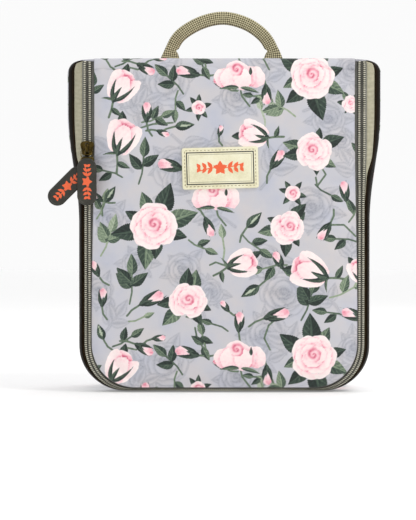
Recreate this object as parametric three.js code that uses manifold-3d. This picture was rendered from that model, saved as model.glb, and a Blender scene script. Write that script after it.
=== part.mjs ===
// Hanging toiletry bag: a padded floral bag with a zipped front flap that hinges at the top edge.
// Millimetres, +Z up, front towards -Y, origin on the floor at the middle of the base.
import * as THREE from 'three';
import * as BufferGeometryUtils from 'three/addons/utils/BufferGeometryUtils.js';
import Module from 'manifold-3d';

// ---- driving dimensions ----
const GAP = 0.3;
const BODY_HEIGHT = 232;
const TOP_HALF_WIDTH = 111;
const LOW_HALF_WIDTH = 102.5;
const TAPER_LOW_Z = 118;
const TAPER_HIGH_Z = 196;
const BASE_CORNER = 32;
const TOP_CORNER = 8;
const FRONT_Y = -40;
const BACK_Y = 40;

const PANEL_HALF_WIDTH = 90.5;
const PANEL_LOW_Z = 4;
const PANEL_HIGH_Z = 230.5;
const PANEL_CORNER = 30;
const PANEL_THICK = 1.9;

const SKIN = 1.2;
const WALL = 2;
const LINING = 0.8;
const PAD = 4;
const FLAP_HINGE = { y: -37.5, z: 232 };

const ZIP_CENTRE = 5;
const COIL_HALF_GAP = 0.5;
const COIL_WIDTH = 2.3;
const TAPE_END = 9;

const RING_RADIUS = 4.2;
const WIRE_RADIUS = 0.5;
const TAG_LENGTH = 33;
const TAG_WIDTH = 13.4;
const TAG_THICK = 2.2;
const TAG_TOP_DROP = 2.6;

const HANDLE_Y = 2;
const LABEL = { x: -3, z: 156.5, width: 53, height: 28.8, thick: 1.2, tilt: 1.5 };

// ---- material colours ----
const COLOURS = {
  floral: 0xcfcdd2,
  lining: 0xb9b4a6,
  foam: 0xe4e2dc,
  tape: 0x5c5a52,
  coil: 0xa2a48b,
  strip: 0xb8b290,
  leatherette: 0x2c2216,
  webbing: 0xa8a07a,
  cream: 0xe6e3bf,
  brass: 0x7a6530,
  rubber: 0x25241a,
  mesh: 0x4a4a46,
  board: 0x8a8a86,
  hook: 0x2a2a28,
};

const bag = new THREE.Group();

function addPart(name, geometry, colour, parent = bag, roughness = 0.8, metalness = 0) {
  const material = new THREE.MeshStandardMaterial({ color: COLOURS[colour], roughness, metalness });
  const mesh = new THREE.Mesh(geometry, material);
  mesh.name = name;
  parent.add(mesh);
  return mesh;
}

// ---- joining and cutting closed solids ----
const wasm = await Module();
wasm.setup();

function toManifold(geometry) {
  const bare = geometry.clone();
  bare.deleteAttribute('normal');
  bare.deleteAttribute('uv');
  const merged = BufferGeometryUtils.mergeVertices(bare, 1e-4);
  return new wasm.Manifold(new wasm.Mesh({
    numProp: 3,
    vertProperties: new Float32Array(merged.attributes.position.array),
    triVerts: new Uint32Array(merged.index.array),
  }));
}

function fromManifold(solid) {
  const mesh = solid.getMesh();
  const geometry = new THREE.BufferGeometry();
  geometry.setAttribute('position', new THREE.BufferAttribute(mesh.vertProperties, 3));
  geometry.setIndex(new THREE.BufferAttribute(mesh.triVerts, 1));
  geometry.computeVertexNormals();
  return geometry;
}

function join(...geometries) {
  return fromManifold(geometries.map(toManifold).reduce((a, b) => a.add(b)));
}

function cut(geometry, ...tools) {
  return fromManifold(tools.map(toManifold).reduce((a, b) => a.subtract(b), toManifold(geometry)));
}

// ---- shared shape helpers ----
function box(x0, x1, y0, y1, z0, z1) {
  const geometry = new THREE.BoxGeometry(x1 - x0, y1 - y0, z1 - z0);
  return geometry.translate((x0 + x1) / 2, (y0 + y1) / 2, (z0 + z1) / 2);
}

// A plate whose outline is drawn in X and Z, standing between two depths.
function plate(shape, yFront, yBack, bevel = 0) {
  const geometry = new THREE.ExtrudeGeometry(shape, {
    depth: yBack - yFront - 2 * bevel,
    bevelEnabled: bevel > 0,
    bevelSize: bevel,
    bevelOffset: -bevel,
    bevelThickness: bevel,
    bevelSegments: 1,
    curveSegments: 6,
  });
  return geometry.rotateX(Math.PI / 2).translate(0, yBack - bevel, 0);
}

// A slab whose outline is drawn in X and Y, standing between two heights.
function slab(shape, zLow, zHigh) {
  const geometry = new THREE.ExtrudeGeometry(shape, {
    depth: zHigh - zLow,
    bevelEnabled: false,
    curveSegments: 6,
  });
  return geometry.translate(0, 0, zLow);
}

function roundedRect(x0, x1, z0, z1, radius) {
  const shape = new THREE.Shape();
  shape.moveTo(x0 + radius, z0);
  shape.lineTo(x1 - radius, z0);
  shape.absarc(x1 - radius, z0 + radius, radius, -Math.PI / 2, 0);
  shape.lineTo(x1, z1 - radius);
  shape.absarc(x1 - radius, z1 - radius, radius, 0, Math.PI / 2);
  shape.lineTo(x0 + radius, z1);
  shape.absarc(x0 + radius, z1 - radius, radius, Math.PI / 2, Math.PI);
  shape.lineTo(x0, z0 + radius);
  shape.absarc(x0 + radius, z0 + radius, radius, Math.PI, 1.5 * Math.PI);
  return shape;
}

// A closed body through equal rings of points. A ring runs out along one face and back along
// the other, so its first and last points pair up and the two end caps are strips.
function loft(rings) {
  const count = rings[0].length;
  const faces = [];
  for (let row = 0; row < rings.length - 1; row += 1) {
    for (let column = 0; column < count; column += 1) {
      const a = row * count + column;
      const b = row * count + ((column + 1) % count);
      faces.push(a, b, a + count, b, b + count, a + count);
    }
  }
  const last = (rings.length - 1) * count;
  for (let i = 0; i < count / 2 - 1; i += 1) {
    const mate = count - 1 - i;
    faces.push(i, mate, i + 1, i + 1, mate, mate - 1);
    faces.push(last + i, last + i + 1, last + mate, last + i + 1, last + mate - 1, last + mate);
  }
  const geometry = new THREE.BufferGeometry().setFromPoints(rings.flat());
  geometry.setIndex(faces);
  if (signedVolume(geometry) < 0) {
    geometry.setIndex(flipped(faces));
  }
  geometry.computeVertexNormals();
  return geometry;
}

function flipped(faces) {
  const result = [];
  for (let i = 0; i < faces.length; i += 3) {
    result.push(faces[i], faces[i + 2], faces[i + 1]);
  }
  return result;
}

function signedVolume(geometry) {
  const position = geometry.attributes.position;
  const index = geometry.index.array;
  const corner = (i) => new THREE.Vector3().fromBufferAttribute(position, index[i]);
  let volume = 0;
  for (let i = 0; i < index.length; i += 3) {
    volume += corner(i).dot(corner(i + 1).cross(corner(i + 2)));
  }
  return volume;
}

// ---- outlines ----
// Half the width of the body at a height: wide at the top, drawn in below.
function halfWidth(z) {
  const t = THREE.MathUtils.smoothstep(z, TAPER_LOW_Z, TAPER_HIGH_Z);
  return THREE.MathUtils.lerp(LOW_HALF_WIDTH, TOP_HALF_WIDTH, t);
}

// Stations down the left side, round the corner and along the base to the middle. Each has a
// point on the panel's edge, a point on the body's outline, and how far it has turned under.
function leftStations() {
  const stations = [];
  const topX = TOP_HALF_WIDTH - TOP_CORNER;
  const topZ = BODY_HEIGHT - TOP_CORNER;
  for (const degrees of [90, 60, 30]) {
    const angle = THREE.MathUtils.degToRad(degrees);
    stations.push({
      edge: new THREE.Vector2(-PANEL_HALF_WIDTH, topZ + (PANEL_HIGH_Z - topZ) * Math.sin(angle)),
      rim: new THREE.Vector2(-topX - TOP_CORNER * Math.cos(angle), topZ + TOP_CORNER * Math.sin(angle)),
      under: 0,
    });
  }
  const sideSteps = 9;
  const lowZ = BASE_CORNER + 2;
  for (let i = 0; i <= sideSteps; i += 1) {
    const z = THREE.MathUtils.lerp(topZ, lowZ, i / sideSteps);
    stations.push({
      edge: new THREE.Vector2(-PANEL_HALF_WIDTH, z),
      rim: new THREE.Vector2(-halfWidth(z), z),
      under: 0,
    });
  }
  const cornerSteps = 6;
  for (let i = 1; i <= cornerSteps; i += 1) {
    const angle = (Math.PI / 2) * (i / cornerSteps);
    const outward = new THREE.Vector2(-Math.cos(angle), -Math.sin(angle));
    const edgeCentre = new THREE.Vector2(PANEL_CORNER - PANEL_HALF_WIDTH, PANEL_LOW_Z + PANEL_CORNER);
    const rimCentre = new THREE.Vector2(BASE_CORNER - LOW_HALF_WIDTH, BASE_CORNER);
    stations.push({
      edge: edgeCentre.addScaledVector(outward, PANEL_CORNER),
      rim: rimCentre.addScaledVector(outward, BASE_CORNER),
      under: THREE.MathUtils.smoothstep(i / cornerSteps, 0, 1),
    });
  }
  stations.push({
    edge: new THREE.Vector2(0, PANEL_LOW_Z),
    rim: new THREE.Vector2(0, 0),
    under: 1,
  });
  return stations;
}

function mirroredStation(station) {
  return {
    edge: new THREE.Vector2(-station.edge.x, station.edge.y),
    rim: new THREE.Vector2(-station.rim.x, station.rim.y),
    under: station.under,
  };
}

const LEFT_STATIONS = leftStations();
const STATIONS = [...LEFT_STATIONS, ...LEFT_STATIONS.slice(0, -1).reverse().map(mirroredStation)];

// The body's outline from the same stations, drawn in by an inset.
function bodyShape(inset) {
  const outline = STATIONS.map((station) => {
    const inward = station.edge.clone().sub(station.rim).normalize();
    return station.rim.clone().addScaledVector(inward, inset);
  });
  outline[0].y = BODY_HEIGHT - inset;
  outline.at(-1).y = BODY_HEIGHT - inset;
  return new THREE.Shape(outline);
}

function panelShape(inset) {
  const x = PANEL_HALF_WIDTH - inset;
  const low = PANEL_LOW_Z + inset;
  const high = PANEL_HIGH_Z - inset;
  const corner = PANEL_CORNER - inset;
  const shape = new THREE.Shape();
  shape.moveTo(-x + corner, low);
  shape.lineTo(x - corner, low);
  shape.absarc(x - corner, low + corner, corner, -Math.PI / 2, 0);
  shape.lineTo(x, high);
  shape.lineTo(-x, high);
  shape.lineTo(-x, low + corner);
  shape.absarc(-x + corner, low + corner, corner, Math.PI, 1.5 * Math.PI);
  return shape;
}

// ---- the border between the panel and the gusset ----
// Its cross-section runs outwards and back from the panel's edge. These are the limits of the
// zones on it, as distance outwards and depth: flap tape, coil centre, body tape, strip, band.
const ZONE = { edge: 0, coilStart: 1, coilCentre: 2, coilEnd: 3, tapeEnd: 4, stripEnd: 5, bandEnd: 6, rim: 7 };

function sideSection(reach) {
  const outer = reach - TAPE_END;
  return [
    [0, -38.6],
    [ZIP_CENTRE - COIL_HALF_GAP - COIL_WIDTH, -38.5],
    [ZIP_CENTRE, -38.2],
    [ZIP_CENTRE + COIL_HALF_GAP + COIL_WIDTH, -37.6],
    [TAPE_END, -36.8],
    [TAPE_END + outer * 0.48, -32],
    [TAPE_END + outer * 0.88, -23],
    [reach, -12],
  ];
}

const BASE_SECTION = [[0, -38.6], [1.1, -36.8], [2.1, -34.6], [2.9, -32], [3.3, -29.6], [3.7, -25], [3.9, -18], [4, -12]];

function sectionCurve(station) {
  const reach = station.rim.distanceTo(station.edge);
  const side = sideSection(Math.max(reach, TAPE_END + 1));
  const scale = reach / 4;
  const points = side.map(([out, depth], i) => new THREE.Vector2(
    THREE.MathUtils.lerp(out, BASE_SECTION[i][0] * scale, station.under),
    THREE.MathUtils.lerp(depth, BASE_SECTION[i][1], station.under),
  ));
  return new THREE.SplineCurve(points);
}

function sectionToSpace(station, out, depth) {
  const outward = station.rim.clone().sub(station.edge).normalize();
  const place = station.edge.clone().addScaledVector(outward, out);
  return new THREE.Vector3(place.x, depth, place.y);
}

// One ring of a border layer at a station: its outer face forwards, its inner face back.
// A wall that carries on straight to the back has a depth where it stops.
function layerRing(station, from, to, lift, thick, wallEnd, steps) {
  const curve = sectionCurve(station);
  const zones = ZONE.rim;
  const outer = [];
  const inner = [];
  for (let i = 0; i <= steps; i += 1) {
    const t = THREE.MathUtils.lerp(from, to, i / steps) / zones;
    const point = curve.getPoint(t);
    const tangent = curve.getTangent(t);
    const inward = new THREE.Vector2(-tangent.y, tangent.x);
    outer.push(point.clone().addScaledVector(inward, lift));
    inner.push(point.clone().addScaledVector(inward, lift + thick));
  }
  if (wallEnd !== null) {
    const out = outer.at(-1).x;
    outer.push(new THREE.Vector2(out, wallEnd));
    inner.push(new THREE.Vector2(out - thick, wallEnd));
  }
  return [...outer, ...inner.reverse()].map((point) => sectionToSpace(station, point.x, point.y));
}

function borderLayer(from, to, { lift = 0, thick = SKIN, wallEnd = null, steps = 2, stations = STATIONS } = {}) {
  return loft(stations.map((station) => layerRing(station, from, to, lift, thick, wallEnd, steps)));
}

// ---- main body ----
addPart('zip_coil_body', borderLayer(2.2, 2.8, { lift: -0.3, thick: 1.8, steps: 1 }), 'coil', bag, 0.5);
addPart('zip_tape_body', borderLayer(3.14, 3.88, { steps: 1 }), 'tape');
addPart('gusset_strip', borderLayer(4.1, 4.92), 'strip');
addPart('trim_band', borderLayer(5.08, 5.92, { steps: 3 }), 'leatherette', bag, 0.4);
addPart('side_gusset', borderLayer(6.08, 7, { thick: WALL, wallEnd: 37.4, steps: 2 }), 'floral');
const belowTop = STATIONS.slice(3, -3);
addPart('side_lining', borderLayer(4.05, 7, {
  lift: WALL + GAP,
  thick: LINING,
  wallEnd: 32.9,
  steps: 4,
  stations: belowTop,
}), 'lining');

const BACK = { skin: 2, pad: 3.5 };
const backSkinFront = BACK_Y - BACK.skin;
const backPadFront = backSkinFront - GAP - BACK.pad;
const backLiningFront = backPadFront - GAP - LINING;
const wallDepth = WALL + GAP;
addPart('back_panel', plate(bodyShape(0.2), backSkinFront, BACK_Y, 0.9), 'floral');
addPart('back_foam_pad', plate(bodyShape(wallDepth + 1.5), backPadFront, backSkinFront - GAP), 'foam');
addPart('back_lining', plate(bodyShape(wallDepth + 1.5), backLiningFront, backPadFront - GAP), 'lining');

const topUnder = BODY_HEIGHT - WALL;
const topFrontHalf = PANEL_HALF_WIDTH - 0.5;
const topBackHalf = TOP_HALF_WIDTH - TOP_CORNER - WALL - 2 * GAP;
const topFront = FLAP_HINGE.y + GAP;
const topMiddleHalf = PANEL_HALF_WIDTH + 6;
const topMiddleFront = -26;
const topRearFront = -10;
addPart('top_panel', join(
  box(-topFrontHalf, topFrontHalf, topFront, topMiddleFront + 1, topUnder, BODY_HEIGHT),
  box(-topMiddleHalf, topMiddleHalf, topMiddleFront, topRearFront + 1, topUnder, BODY_HEIGHT),
  box(-topBackHalf, topBackHalf, topRearFront, backSkinFront - GAP, topUnder, BODY_HEIGHT),
), 'floral');
const topLiningHigh = topUnder - GAP;
addPart('top_lining', box(-topFrontHalf, topFrontHalf, topFront, backLiningFront - GAP, topLiningHigh - LINING, topLiningHigh), 'lining');

const boardLow = WALL + GAP + LINING + 2 * GAP;
addPart('base_board', slab(roundedRect(-66, 66, -14, 30, 6), boardLow, boardLow + 1.4), 'board');

// ---- inside the main compartment ----
const POCKET = { half: 86, front: 22, low: 12, high: 92, corner: 8 };
const pocketBack = backLiningFront - GAP;

// An open-topped pocket in plan: a front sheet with a return at each side.
function pocketPlan(grow) {
  const shape = new THREE.Shape();
  const outer = POCKET.half + grow;
  const front = POCKET.front - grow;
  const inner = POCKET.half - SKIN;
  const innerFront = POCKET.front + SKIN;
  shape.moveTo(-outer, pocketBack);
  shape.lineTo(-outer, front + POCKET.corner);
  shape.absarc(-outer + POCKET.corner, front + POCKET.corner, POCKET.corner, Math.PI, 1.5 * Math.PI);
  shape.lineTo(outer - POCKET.corner, front);
  shape.absarc(outer - POCKET.corner, front + POCKET.corner, POCKET.corner, -Math.PI / 2, 0);
  shape.lineTo(outer, pocketBack);
  shape.lineTo(inner, pocketBack);
  shape.lineTo(inner, innerFront + POCKET.corner);
  shape.lineTo(inner - POCKET.corner, innerFront);
  shape.lineTo(-inner + POCKET.corner, innerFront);
  shape.lineTo(-inner, innerFront + POCKET.corner);
  shape.lineTo(-inner, pocketBack);
  return shape;
}

const bindingHeight = 9;
addPart('mesh_pocket', slab(pocketPlan(0), POCKET.low, POCKET.high), 'mesh');
addPart('mesh_pocket_binding', slab(pocketPlan(0.6), POCKET.high + GAP, POCKET.high + bindingHeight), 'leatherette');

const STRAP = { low: 128, high: 150, loops: 3, loopWidth: 48, gap: 8, depth: 15 };

// The strap lies on the back lining and stands off it in loops for bottles, seen in plan.
function strapPlan() {
  const shape = new THREE.Shape();
  const back = pocketBack;
  const pitch = STRAP.loopWidth + STRAP.gap;
  const start = (-pitch * STRAP.loops) / 2;
  shape.moveTo(start, back);
  shape.lineTo(start, back - SKIN);
  for (let i = 0; i < STRAP.loops; i += 1) {
    const centre = start + pitch * (i + 0.5);
    shape.lineTo(centre - STRAP.loopWidth / 2, back - SKIN);
    shape.absellipse(centre, back - SKIN, STRAP.loopWidth / 2, STRAP.depth, Math.PI, 2 * Math.PI, false);
  }
  shape.lineTo(-start, back - SKIN);
  shape.lineTo(-start, back);
  for (let i = STRAP.loops - 1; i >= 0; i -= 1) {
    const centre = start + pitch * (i + 0.5);
    const halfInner = STRAP.loopWidth / 2 - SKIN;
    shape.lineTo(centre + halfInner, back);
    shape.absellipse(centre, back, halfInner, STRAP.depth, 2 * Math.PI, Math.PI, true);
  }
  return shape;
}

addPart('elastic_strap', slab(strapPlan(), STRAP.low, STRAP.high), 'leatherette');

// ---- carry handle ----
const handleCentre = new THREE.CatmullRomCurve3([
  new THREE.Vector3(-38.5, 0, BODY_HEIGHT + 1.8),
  new THREE.Vector3(-37, 0, 243),
  new THREE.Vector3(-30.5, 0, 253),
  new THREE.Vector3(-16, 0, 261.5),
  new THREE.Vector3(0, 0, 264.6),
  new THREE.Vector3(16, 0, 260.5),
  new THREE.Vector3(28, 0, 252),
  new THREE.Vector3(34, 0, 242),
  new THREE.Vector3(35, 0, BODY_HEIGHT + 1.8),
]);

// Wide and flat where it is sewn down, folded to a narrow thick grip along the crown.
function handleRings() {
  const rings = [];
  const steps = 24;
  for (let i = 0; i <= steps; i += 1) {
    const t = i / steps;
    const point = handleCentre.getPoint(t);
    const tangent = handleCentre.getTangent(t);
    const side = new THREE.Vector3(tangent.z, 0, -tangent.x);
    const flat = 1 - THREE.MathUtils.smoothstep(Math.min(t, 1 - t), 0.1, 0.25);
    const wide = THREE.MathUtils.lerp(4.4, 8, flat);
    const deep = THREE.MathUtils.lerp(3.6, 1, flat);
    const ring = [];
    for (const [u, v] of [[-1, -0.6], [-0.6, -1], [0.6, -1], [1, -0.6], [1, 0.6], [0.6, 1], [-0.6, 1], [-1, 0.6]]) {
      const corner = point.clone().addScaledVector(side, u * wide);
      corner.y = HANDLE_Y + v * deep;
      ring.push(corner);
    }
    rings.push(ring);
  }
  return rings;
}

addPart('handle_webbing', loft(handleRings()), 'webbing');
const anchorLow = BODY_HEIGHT + GAP;
const anchorFront = HANDLE_Y + 2.2;
for (const [side, x] of [['left', -38.5], ['right', 35]]) {
  addPart(
    `handle_anchor_${side}`,
    box(x - 8, x + 8, anchorFront, anchorFront + 18, anchorLow, anchorLow + 1.4),
    'webbing',
  );
}

// ---- flap ----
const flap = new THREE.Group();
bag.add(flap);
const panelBack = FRONT_Y + PANEL_THICK;
const padFront = panelBack + GAP;
const liningFront = padFront + PAD + GAP;
const flapPocketFront = liningFront + LINING + GAP;
const flapPocketBack = flapPocketFront + 0.8;
addPart('front_panel', plate(panelShape(0.3), FRONT_Y, panelBack, 0.8), 'floral', flap);
addPart('flap_foam_pad', plate(panelShape(3.2), padFront, padFront + PAD, 1), 'foam', flap);
addPart('flap_lining', plate(panelShape(2.6), liningFront, liningFront + LINING), 'lining', flap);

const label = plate(
  roundedRect(-LABEL.width / 2, LABEL.width / 2, -LABEL.height / 2, LABEL.height / 2, 1.5),
  FRONT_Y - GAP - LABEL.thick,
  FRONT_Y - GAP,
);
const labelMesh = addPart('label_patch', label, 'cream', flap, 0.5);
labelMesh.position.set(LABEL.x, 0, LABEL.z);
labelMesh.rotation.y = THREE.MathUtils.degToRad(-LABEL.tilt);

// The tape stays clear of the panel; the coil stands on the tape's outer edge.
addPart('zip_tape_flap', borderLayer(0.2, 0.86, { lift: 1.5, thick: 1, steps: 1 }), 'tape', flap);
addPart('zip_coil_flap', borderLayer(1.12, 1.8, { lift: -0.3, thick: 1.8, steps: 1 }), 'coil', flap, 0.5);

// ---- zipped pocket on the inside of the flap ----
const FLAP_POCKET = { half: 80, low: 24, high: 196, zipHeight: 14, binding: 6 };
const pocketZipLow = FLAP_POCKET.high + GAP;
const pocketZipHigh = pocketZipLow + FLAP_POCKET.zipHeight;
const pocketSheet = roundedRect(-FLAP_POCKET.half, FLAP_POCKET.half, FLAP_POCKET.low, FLAP_POCKET.high, 10);
addPart('flap_pocket', plate(pocketSheet, flapPocketFront, flapPocketBack), 'mesh', flap);

function stripPlate(x0, x1, z0, z1, yFront, yBack) {
  return box(x0, x1, yFront, yBack, z0, z1);
}

const tapeEnd = FLAP_POCKET.half;
addPart(
  'pocket_zip_tape',
  stripPlate(-tapeEnd, tapeEnd, pocketZipLow, pocketZipHigh, flapPocketFront, flapPocketBack),
  'tape',
  flap,
);
const pocketZipMid = (pocketZipLow + pocketZipHigh) / 2;
const pocketCoilFront = flapPocketBack + GAP;
const pocketCoilBack = pocketCoilFront + 1.2;
addPart(
  'pocket_zip_coil',
  stripPlate(-tapeEnd + 3, tapeEnd - 3, pocketZipMid - 2.2, pocketZipMid + 2.2, pocketCoilFront, pocketCoilBack),
  'coil',
  flap,
  0.5,
);

// The pocket's slider rides in front of its coil and carries a short pull.
const pocketSliderFront = pocketCoilBack + GAP;
const pocketSlider = new THREE.Group();
pocketSlider.position.set(-70, 0, pocketZipMid);
flap.add(pocketSlider);
addPart('pocket_slider', join(
  plate(roundedRect(-4, 4, -3.4, 3.4, 1.5), pocketSliderFront, pocketSliderFront + 1.8, 0.4),
  plate(roundedRect(-1.8, 1.8, -15, 0, 1.4), pocketSliderFront + 1.2, pocketSliderFront + 2.4, 0.3),
), 'brass', pocketSlider, 0.4, 0.9);

// ---- hanging hook, folded flat inside the flap's free end ----
const HOOK = { z: 12, y: -29.4, thick: 3.6, stem: 4.4, bend: 9, rise: 40 };

function alongX(radius, x0, x1) {
  const geometry = new THREE.CylinderGeometry(radius, radius, x1 - x0, 16);
  return geometry.rotateZ(Math.PI / 2).translate((x0 + x1) / 2, HOOK.y, HOOK.z);
}

function hookShape() {
  const half = HOOK.stem / 2;
  const centre = { x: -HOOK.bend, z: HOOK.z + HOOK.rise };
  const tipAngle = THREE.MathUtils.degToRad(205);
  const shape = new THREE.Shape();
  shape.moveTo(half, HOOK.z);
  shape.lineTo(half, centre.z);
  shape.absarc(centre.x, centre.z, HOOK.bend + half, 0, tipAngle);
  shape.absarc(centre.x, centre.z, HOOK.bend - half, tipAngle, 0, true);
  shape.lineTo(-half, HOOK.z);
  return shape;
}

const hookFront = HOOK.y - HOOK.thick / 2;
const hookStem = plate(hookShape(), hookFront, hookFront + HOOK.thick, 0.8);
const hookEye = alongX(HOOK.thick / 2, -HOOK.stem / 2, HOOK.stem / 2);
addPart('hook', cut(join(hookStem, hookEye), alongX(1.2, -4, 4)), 'hook', flap, 0.4);

const bracketPlate = box(-8, 8, flapPocketFront, flapPocketBack, HOOK.z - 5.5, HOOK.z + 8);
const ears = [-1, 1].map((side) => {
  const inner = HOOK.stem / 2 + GAP;
  const outer = inner + 1.8;
  const [x0, x1] = side < 0 ? [-outer, -inner] : [inner, outer];
  return box(x0, x1, flapPocketBack - 0.4, HOOK.y + 1.8, HOOK.z - 1.8, HOOK.z + 1.8);
});
const pin = alongX(0.9, -HOOK.stem / 2 - 1, HOOK.stem / 2 + 1);
addPart('hook_bracket', join(bracketPlate, ...ears, pin), 'hook', flap, 0.5);

// ---- zip sliders, rings and tags on the left run ----
const SLIDER = { front: -42.3, thick: 1.8, half: 4.6, rise: 10.4 };
const sliderX = -PANEL_HALF_WIDTH - ZIP_CENTRE;
const PULLS = [
  { name: 'upper', z: 170.1, ringX: sliderX, ringY: -46.7, ringZ: 166, bridge: -48.3, lean: 0 },
  { name: 'lower', z: 159.4, ringX: sliderX - 0.2, ringY: -43.6, ringZ: 157.4, bridge: -45.2, lean: 45 },
];

// A bridge over the slider, drawn in side view and given its width along X.
function bridgeBar(front) {
  const high = SLIDER.front - front;
  const root = -GAP;
  const shape = new THREE.Shape();
  const outline = [
    [-4.2, root], [-4.2, high - 1.2], [-3, high], [3, high], [4.2, high - 1.2], [4.2, root],
    [3, root], [3, high - 1.4], [2.4, high - 0.8], [-2.4, high - 0.8], [-3, high - 1.4], [-3, root],
  ];
  shape.setFromPoints(outline.map(([x, y]) => new THREE.Vector2(x, y)));
  const geometry = new THREE.ExtrudeGeometry(shape, { depth: 2, bevelEnabled: false });
  const turn = new THREE.Matrix4().makeBasis(
    new THREE.Vector3(0, 0, 1),
    new THREE.Vector3(0, -1, 0),
    new THREE.Vector3(1, 0, 0),
  );
  return geometry.applyMatrix4(turn).translate(-1, SLIDER.front, 0);
}

// Front plate over both coil halves, a thin post between them, a back plate behind the flap's half.
function sliderGeometry(pull) {
  const halfRise = SLIDER.rise / 2;
  const postHalf = 0.22;
  const backPlateFront = -36.4;
  const backPlateEnd = -35.6;
  const frontPlate = plate(
    roundedRect(-SLIDER.half, SLIDER.half, -halfRise, halfRise, 2.4),
    SLIDER.front,
    SLIDER.front + SLIDER.thick,
    0.5,
  );
  const post = box(-postHalf, postHalf, SLIDER.front + 1, backPlateEnd, -3, 3);
  const backPlate = box(-postHalf, 2.5, backPlateFront, backPlateEnd, -halfRise + 1, halfRise - 1);
  return join(frontPlate, post, backPlate, bridgeBar(pull.bridge));
}

function ringTorus(wire) {
  return new THREE.TorusGeometry(RING_RADIUS, wire, 8, 24).rotateX(Math.PI / 2);
}

// A flat rubber tag with rounded ends; the ring runs through a curved tunnel near its top.
function tagGeometry() {
  const half = TAG_WIDTH / 2;
  const top = -TAG_TOP_DROP;
  const body = plate(
    roundedRect(-half, half, top - TAG_LENGTH, top, half - 0.1),
    -TAG_THICK / 2,
    TAG_THICK / 2,
    0.4,
  );
  return cut(body, ringTorus(WIRE_RADIUS + GAP));
}

for (const pull of PULLS) {
  const slider = addPart(`slider_${pull.name}`, sliderGeometry(pull), 'brass', flap, 0.4, 0.9);
  slider.position.set(sliderX, 0, pull.z);
  const ring = addPart(`ring_${pull.name}`, ringTorus(WIRE_RADIUS), 'brass', flap, 0.35, 0.9);
  ring.position.set(pull.ringX, pull.ringY, pull.ringZ);
  const tag = addPart(`tag_${pull.name}`, tagGeometry(), 'rubber', flap, 0.6);
  tag.position.copy(ring.position);
  tag.rotation.y = THREE.MathUtils.degToRad(pull.lean);
}

export default bag;
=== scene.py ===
# Visual model of a hanging toiletry bag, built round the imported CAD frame.
# Lengths in the making functions are millimetres; meshes are written in metres.
import bpy
import bmesh
import math
import numpy as np
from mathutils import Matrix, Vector


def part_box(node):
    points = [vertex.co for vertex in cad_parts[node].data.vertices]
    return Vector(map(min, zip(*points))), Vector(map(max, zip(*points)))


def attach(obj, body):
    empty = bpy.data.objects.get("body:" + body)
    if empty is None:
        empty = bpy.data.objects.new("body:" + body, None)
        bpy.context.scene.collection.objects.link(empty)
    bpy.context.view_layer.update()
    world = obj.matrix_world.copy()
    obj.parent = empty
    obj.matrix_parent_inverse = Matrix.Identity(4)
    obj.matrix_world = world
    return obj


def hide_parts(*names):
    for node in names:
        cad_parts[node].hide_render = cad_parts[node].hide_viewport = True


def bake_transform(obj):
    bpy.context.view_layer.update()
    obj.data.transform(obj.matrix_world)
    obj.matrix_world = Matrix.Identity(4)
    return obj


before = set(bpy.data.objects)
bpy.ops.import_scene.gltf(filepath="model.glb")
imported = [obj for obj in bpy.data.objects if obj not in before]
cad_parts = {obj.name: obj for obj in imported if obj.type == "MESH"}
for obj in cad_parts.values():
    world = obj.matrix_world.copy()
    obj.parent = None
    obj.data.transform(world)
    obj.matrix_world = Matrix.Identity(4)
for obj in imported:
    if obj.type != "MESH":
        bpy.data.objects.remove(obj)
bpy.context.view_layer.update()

MM = 0.001


def cad(node):
    """Lowest and highest corner of a CAD node, in millimetres."""
    low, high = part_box(node)
    return [v / MM for v in low], [v / MM for v in high]


# ---------------------------------------------------------------- camera, light and floor
CAMERA_DISTANCE = 1.5
CAMERA_LENS = 149
CAMERA_TILT = math.radians(1.0)
LOOK_AT = Vector((-0.0115, -0.04, 0.0925))


def make_camera():
    data = bpy.data.cameras.new("camera")
    data.lens = CAMERA_LENS
    camera = bpy.data.objects.new("camera", data)
    bpy.context.scene.collection.objects.link(camera)
    back = CAMERA_DISTANCE * math.cos(CAMERA_TILT)
    up = CAMERA_DISTANCE * math.sin(CAMERA_TILT)
    camera.location = LOOK_AT + Vector((0, -back, up))
    camera.rotation_euler = (math.pi / 2 - CAMERA_TILT, 0, 0)
    bpy.context.scene.camera = camera


def make_light(name, place, aim, size, power, colour=(1, 1, 1)):
    data = bpy.data.lights.new(name, "AREA")
    data.size = size
    data.energy = power
    data.color = colour
    light = bpy.data.objects.new(name, data)
    bpy.context.scene.collection.objects.link(light)
    light.location = place
    direction = Vector(aim) - Vector(place)
    light.rotation_euler = direction.to_track_quat("-Z", "Y").to_euler()


def make_studio():
    world = bpy.data.worlds.new("studio")
    world.use_nodes = True
    background = world.node_tree.nodes["Background"]
    background.inputs["Color"].default_value = (1.0, 1.0, 1.0, 1)
    background.inputs["Strength"].default_value = 0.86
    bpy.context.scene.world = world
    bpy.context.scene.view_settings.view_transform = "Standard"
    middle = (0, 0, 0.12)
    make_light("key", (0.75, -0.55, 1.15), middle, 0.35, 6.0, (1.0, 0.98, 0.95))
    make_light("left_fill", (-1.0, -0.7, 0.35), middle, 0.9, 0.8, (0.9, 0.95, 1.0))
    make_light("rim", (0.5, 0.9, 0.9), middle, 0.5, 2.5)


FLOOR_HALF = 4.0
BACKDROP_Y = 3.9


def make_stage(name, corners, colour, glow):
    mesh = bpy.data.meshes.new(name)
    mesh.from_pydata(corners, [], [(0, 1, 2, 3)])
    thing = bpy.data.objects.new(name, mesh)
    bpy.context.scene.collection.objects.link(thing)
    material = bpy.data.materials.new(name)
    material.use_nodes = True
    shader = material.node_tree.nodes["Principled BSDF"]
    shader.inputs["Base Color"].default_value = (colour, colour, colour, 1)
    shader.inputs["Roughness"].default_value = 0.8
    shader.inputs["Emission Color"].default_value = (1, 1, 1, 1)
    shader.inputs["Emission Strength"].default_value = glow
    mesh.materials.append(material)


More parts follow.
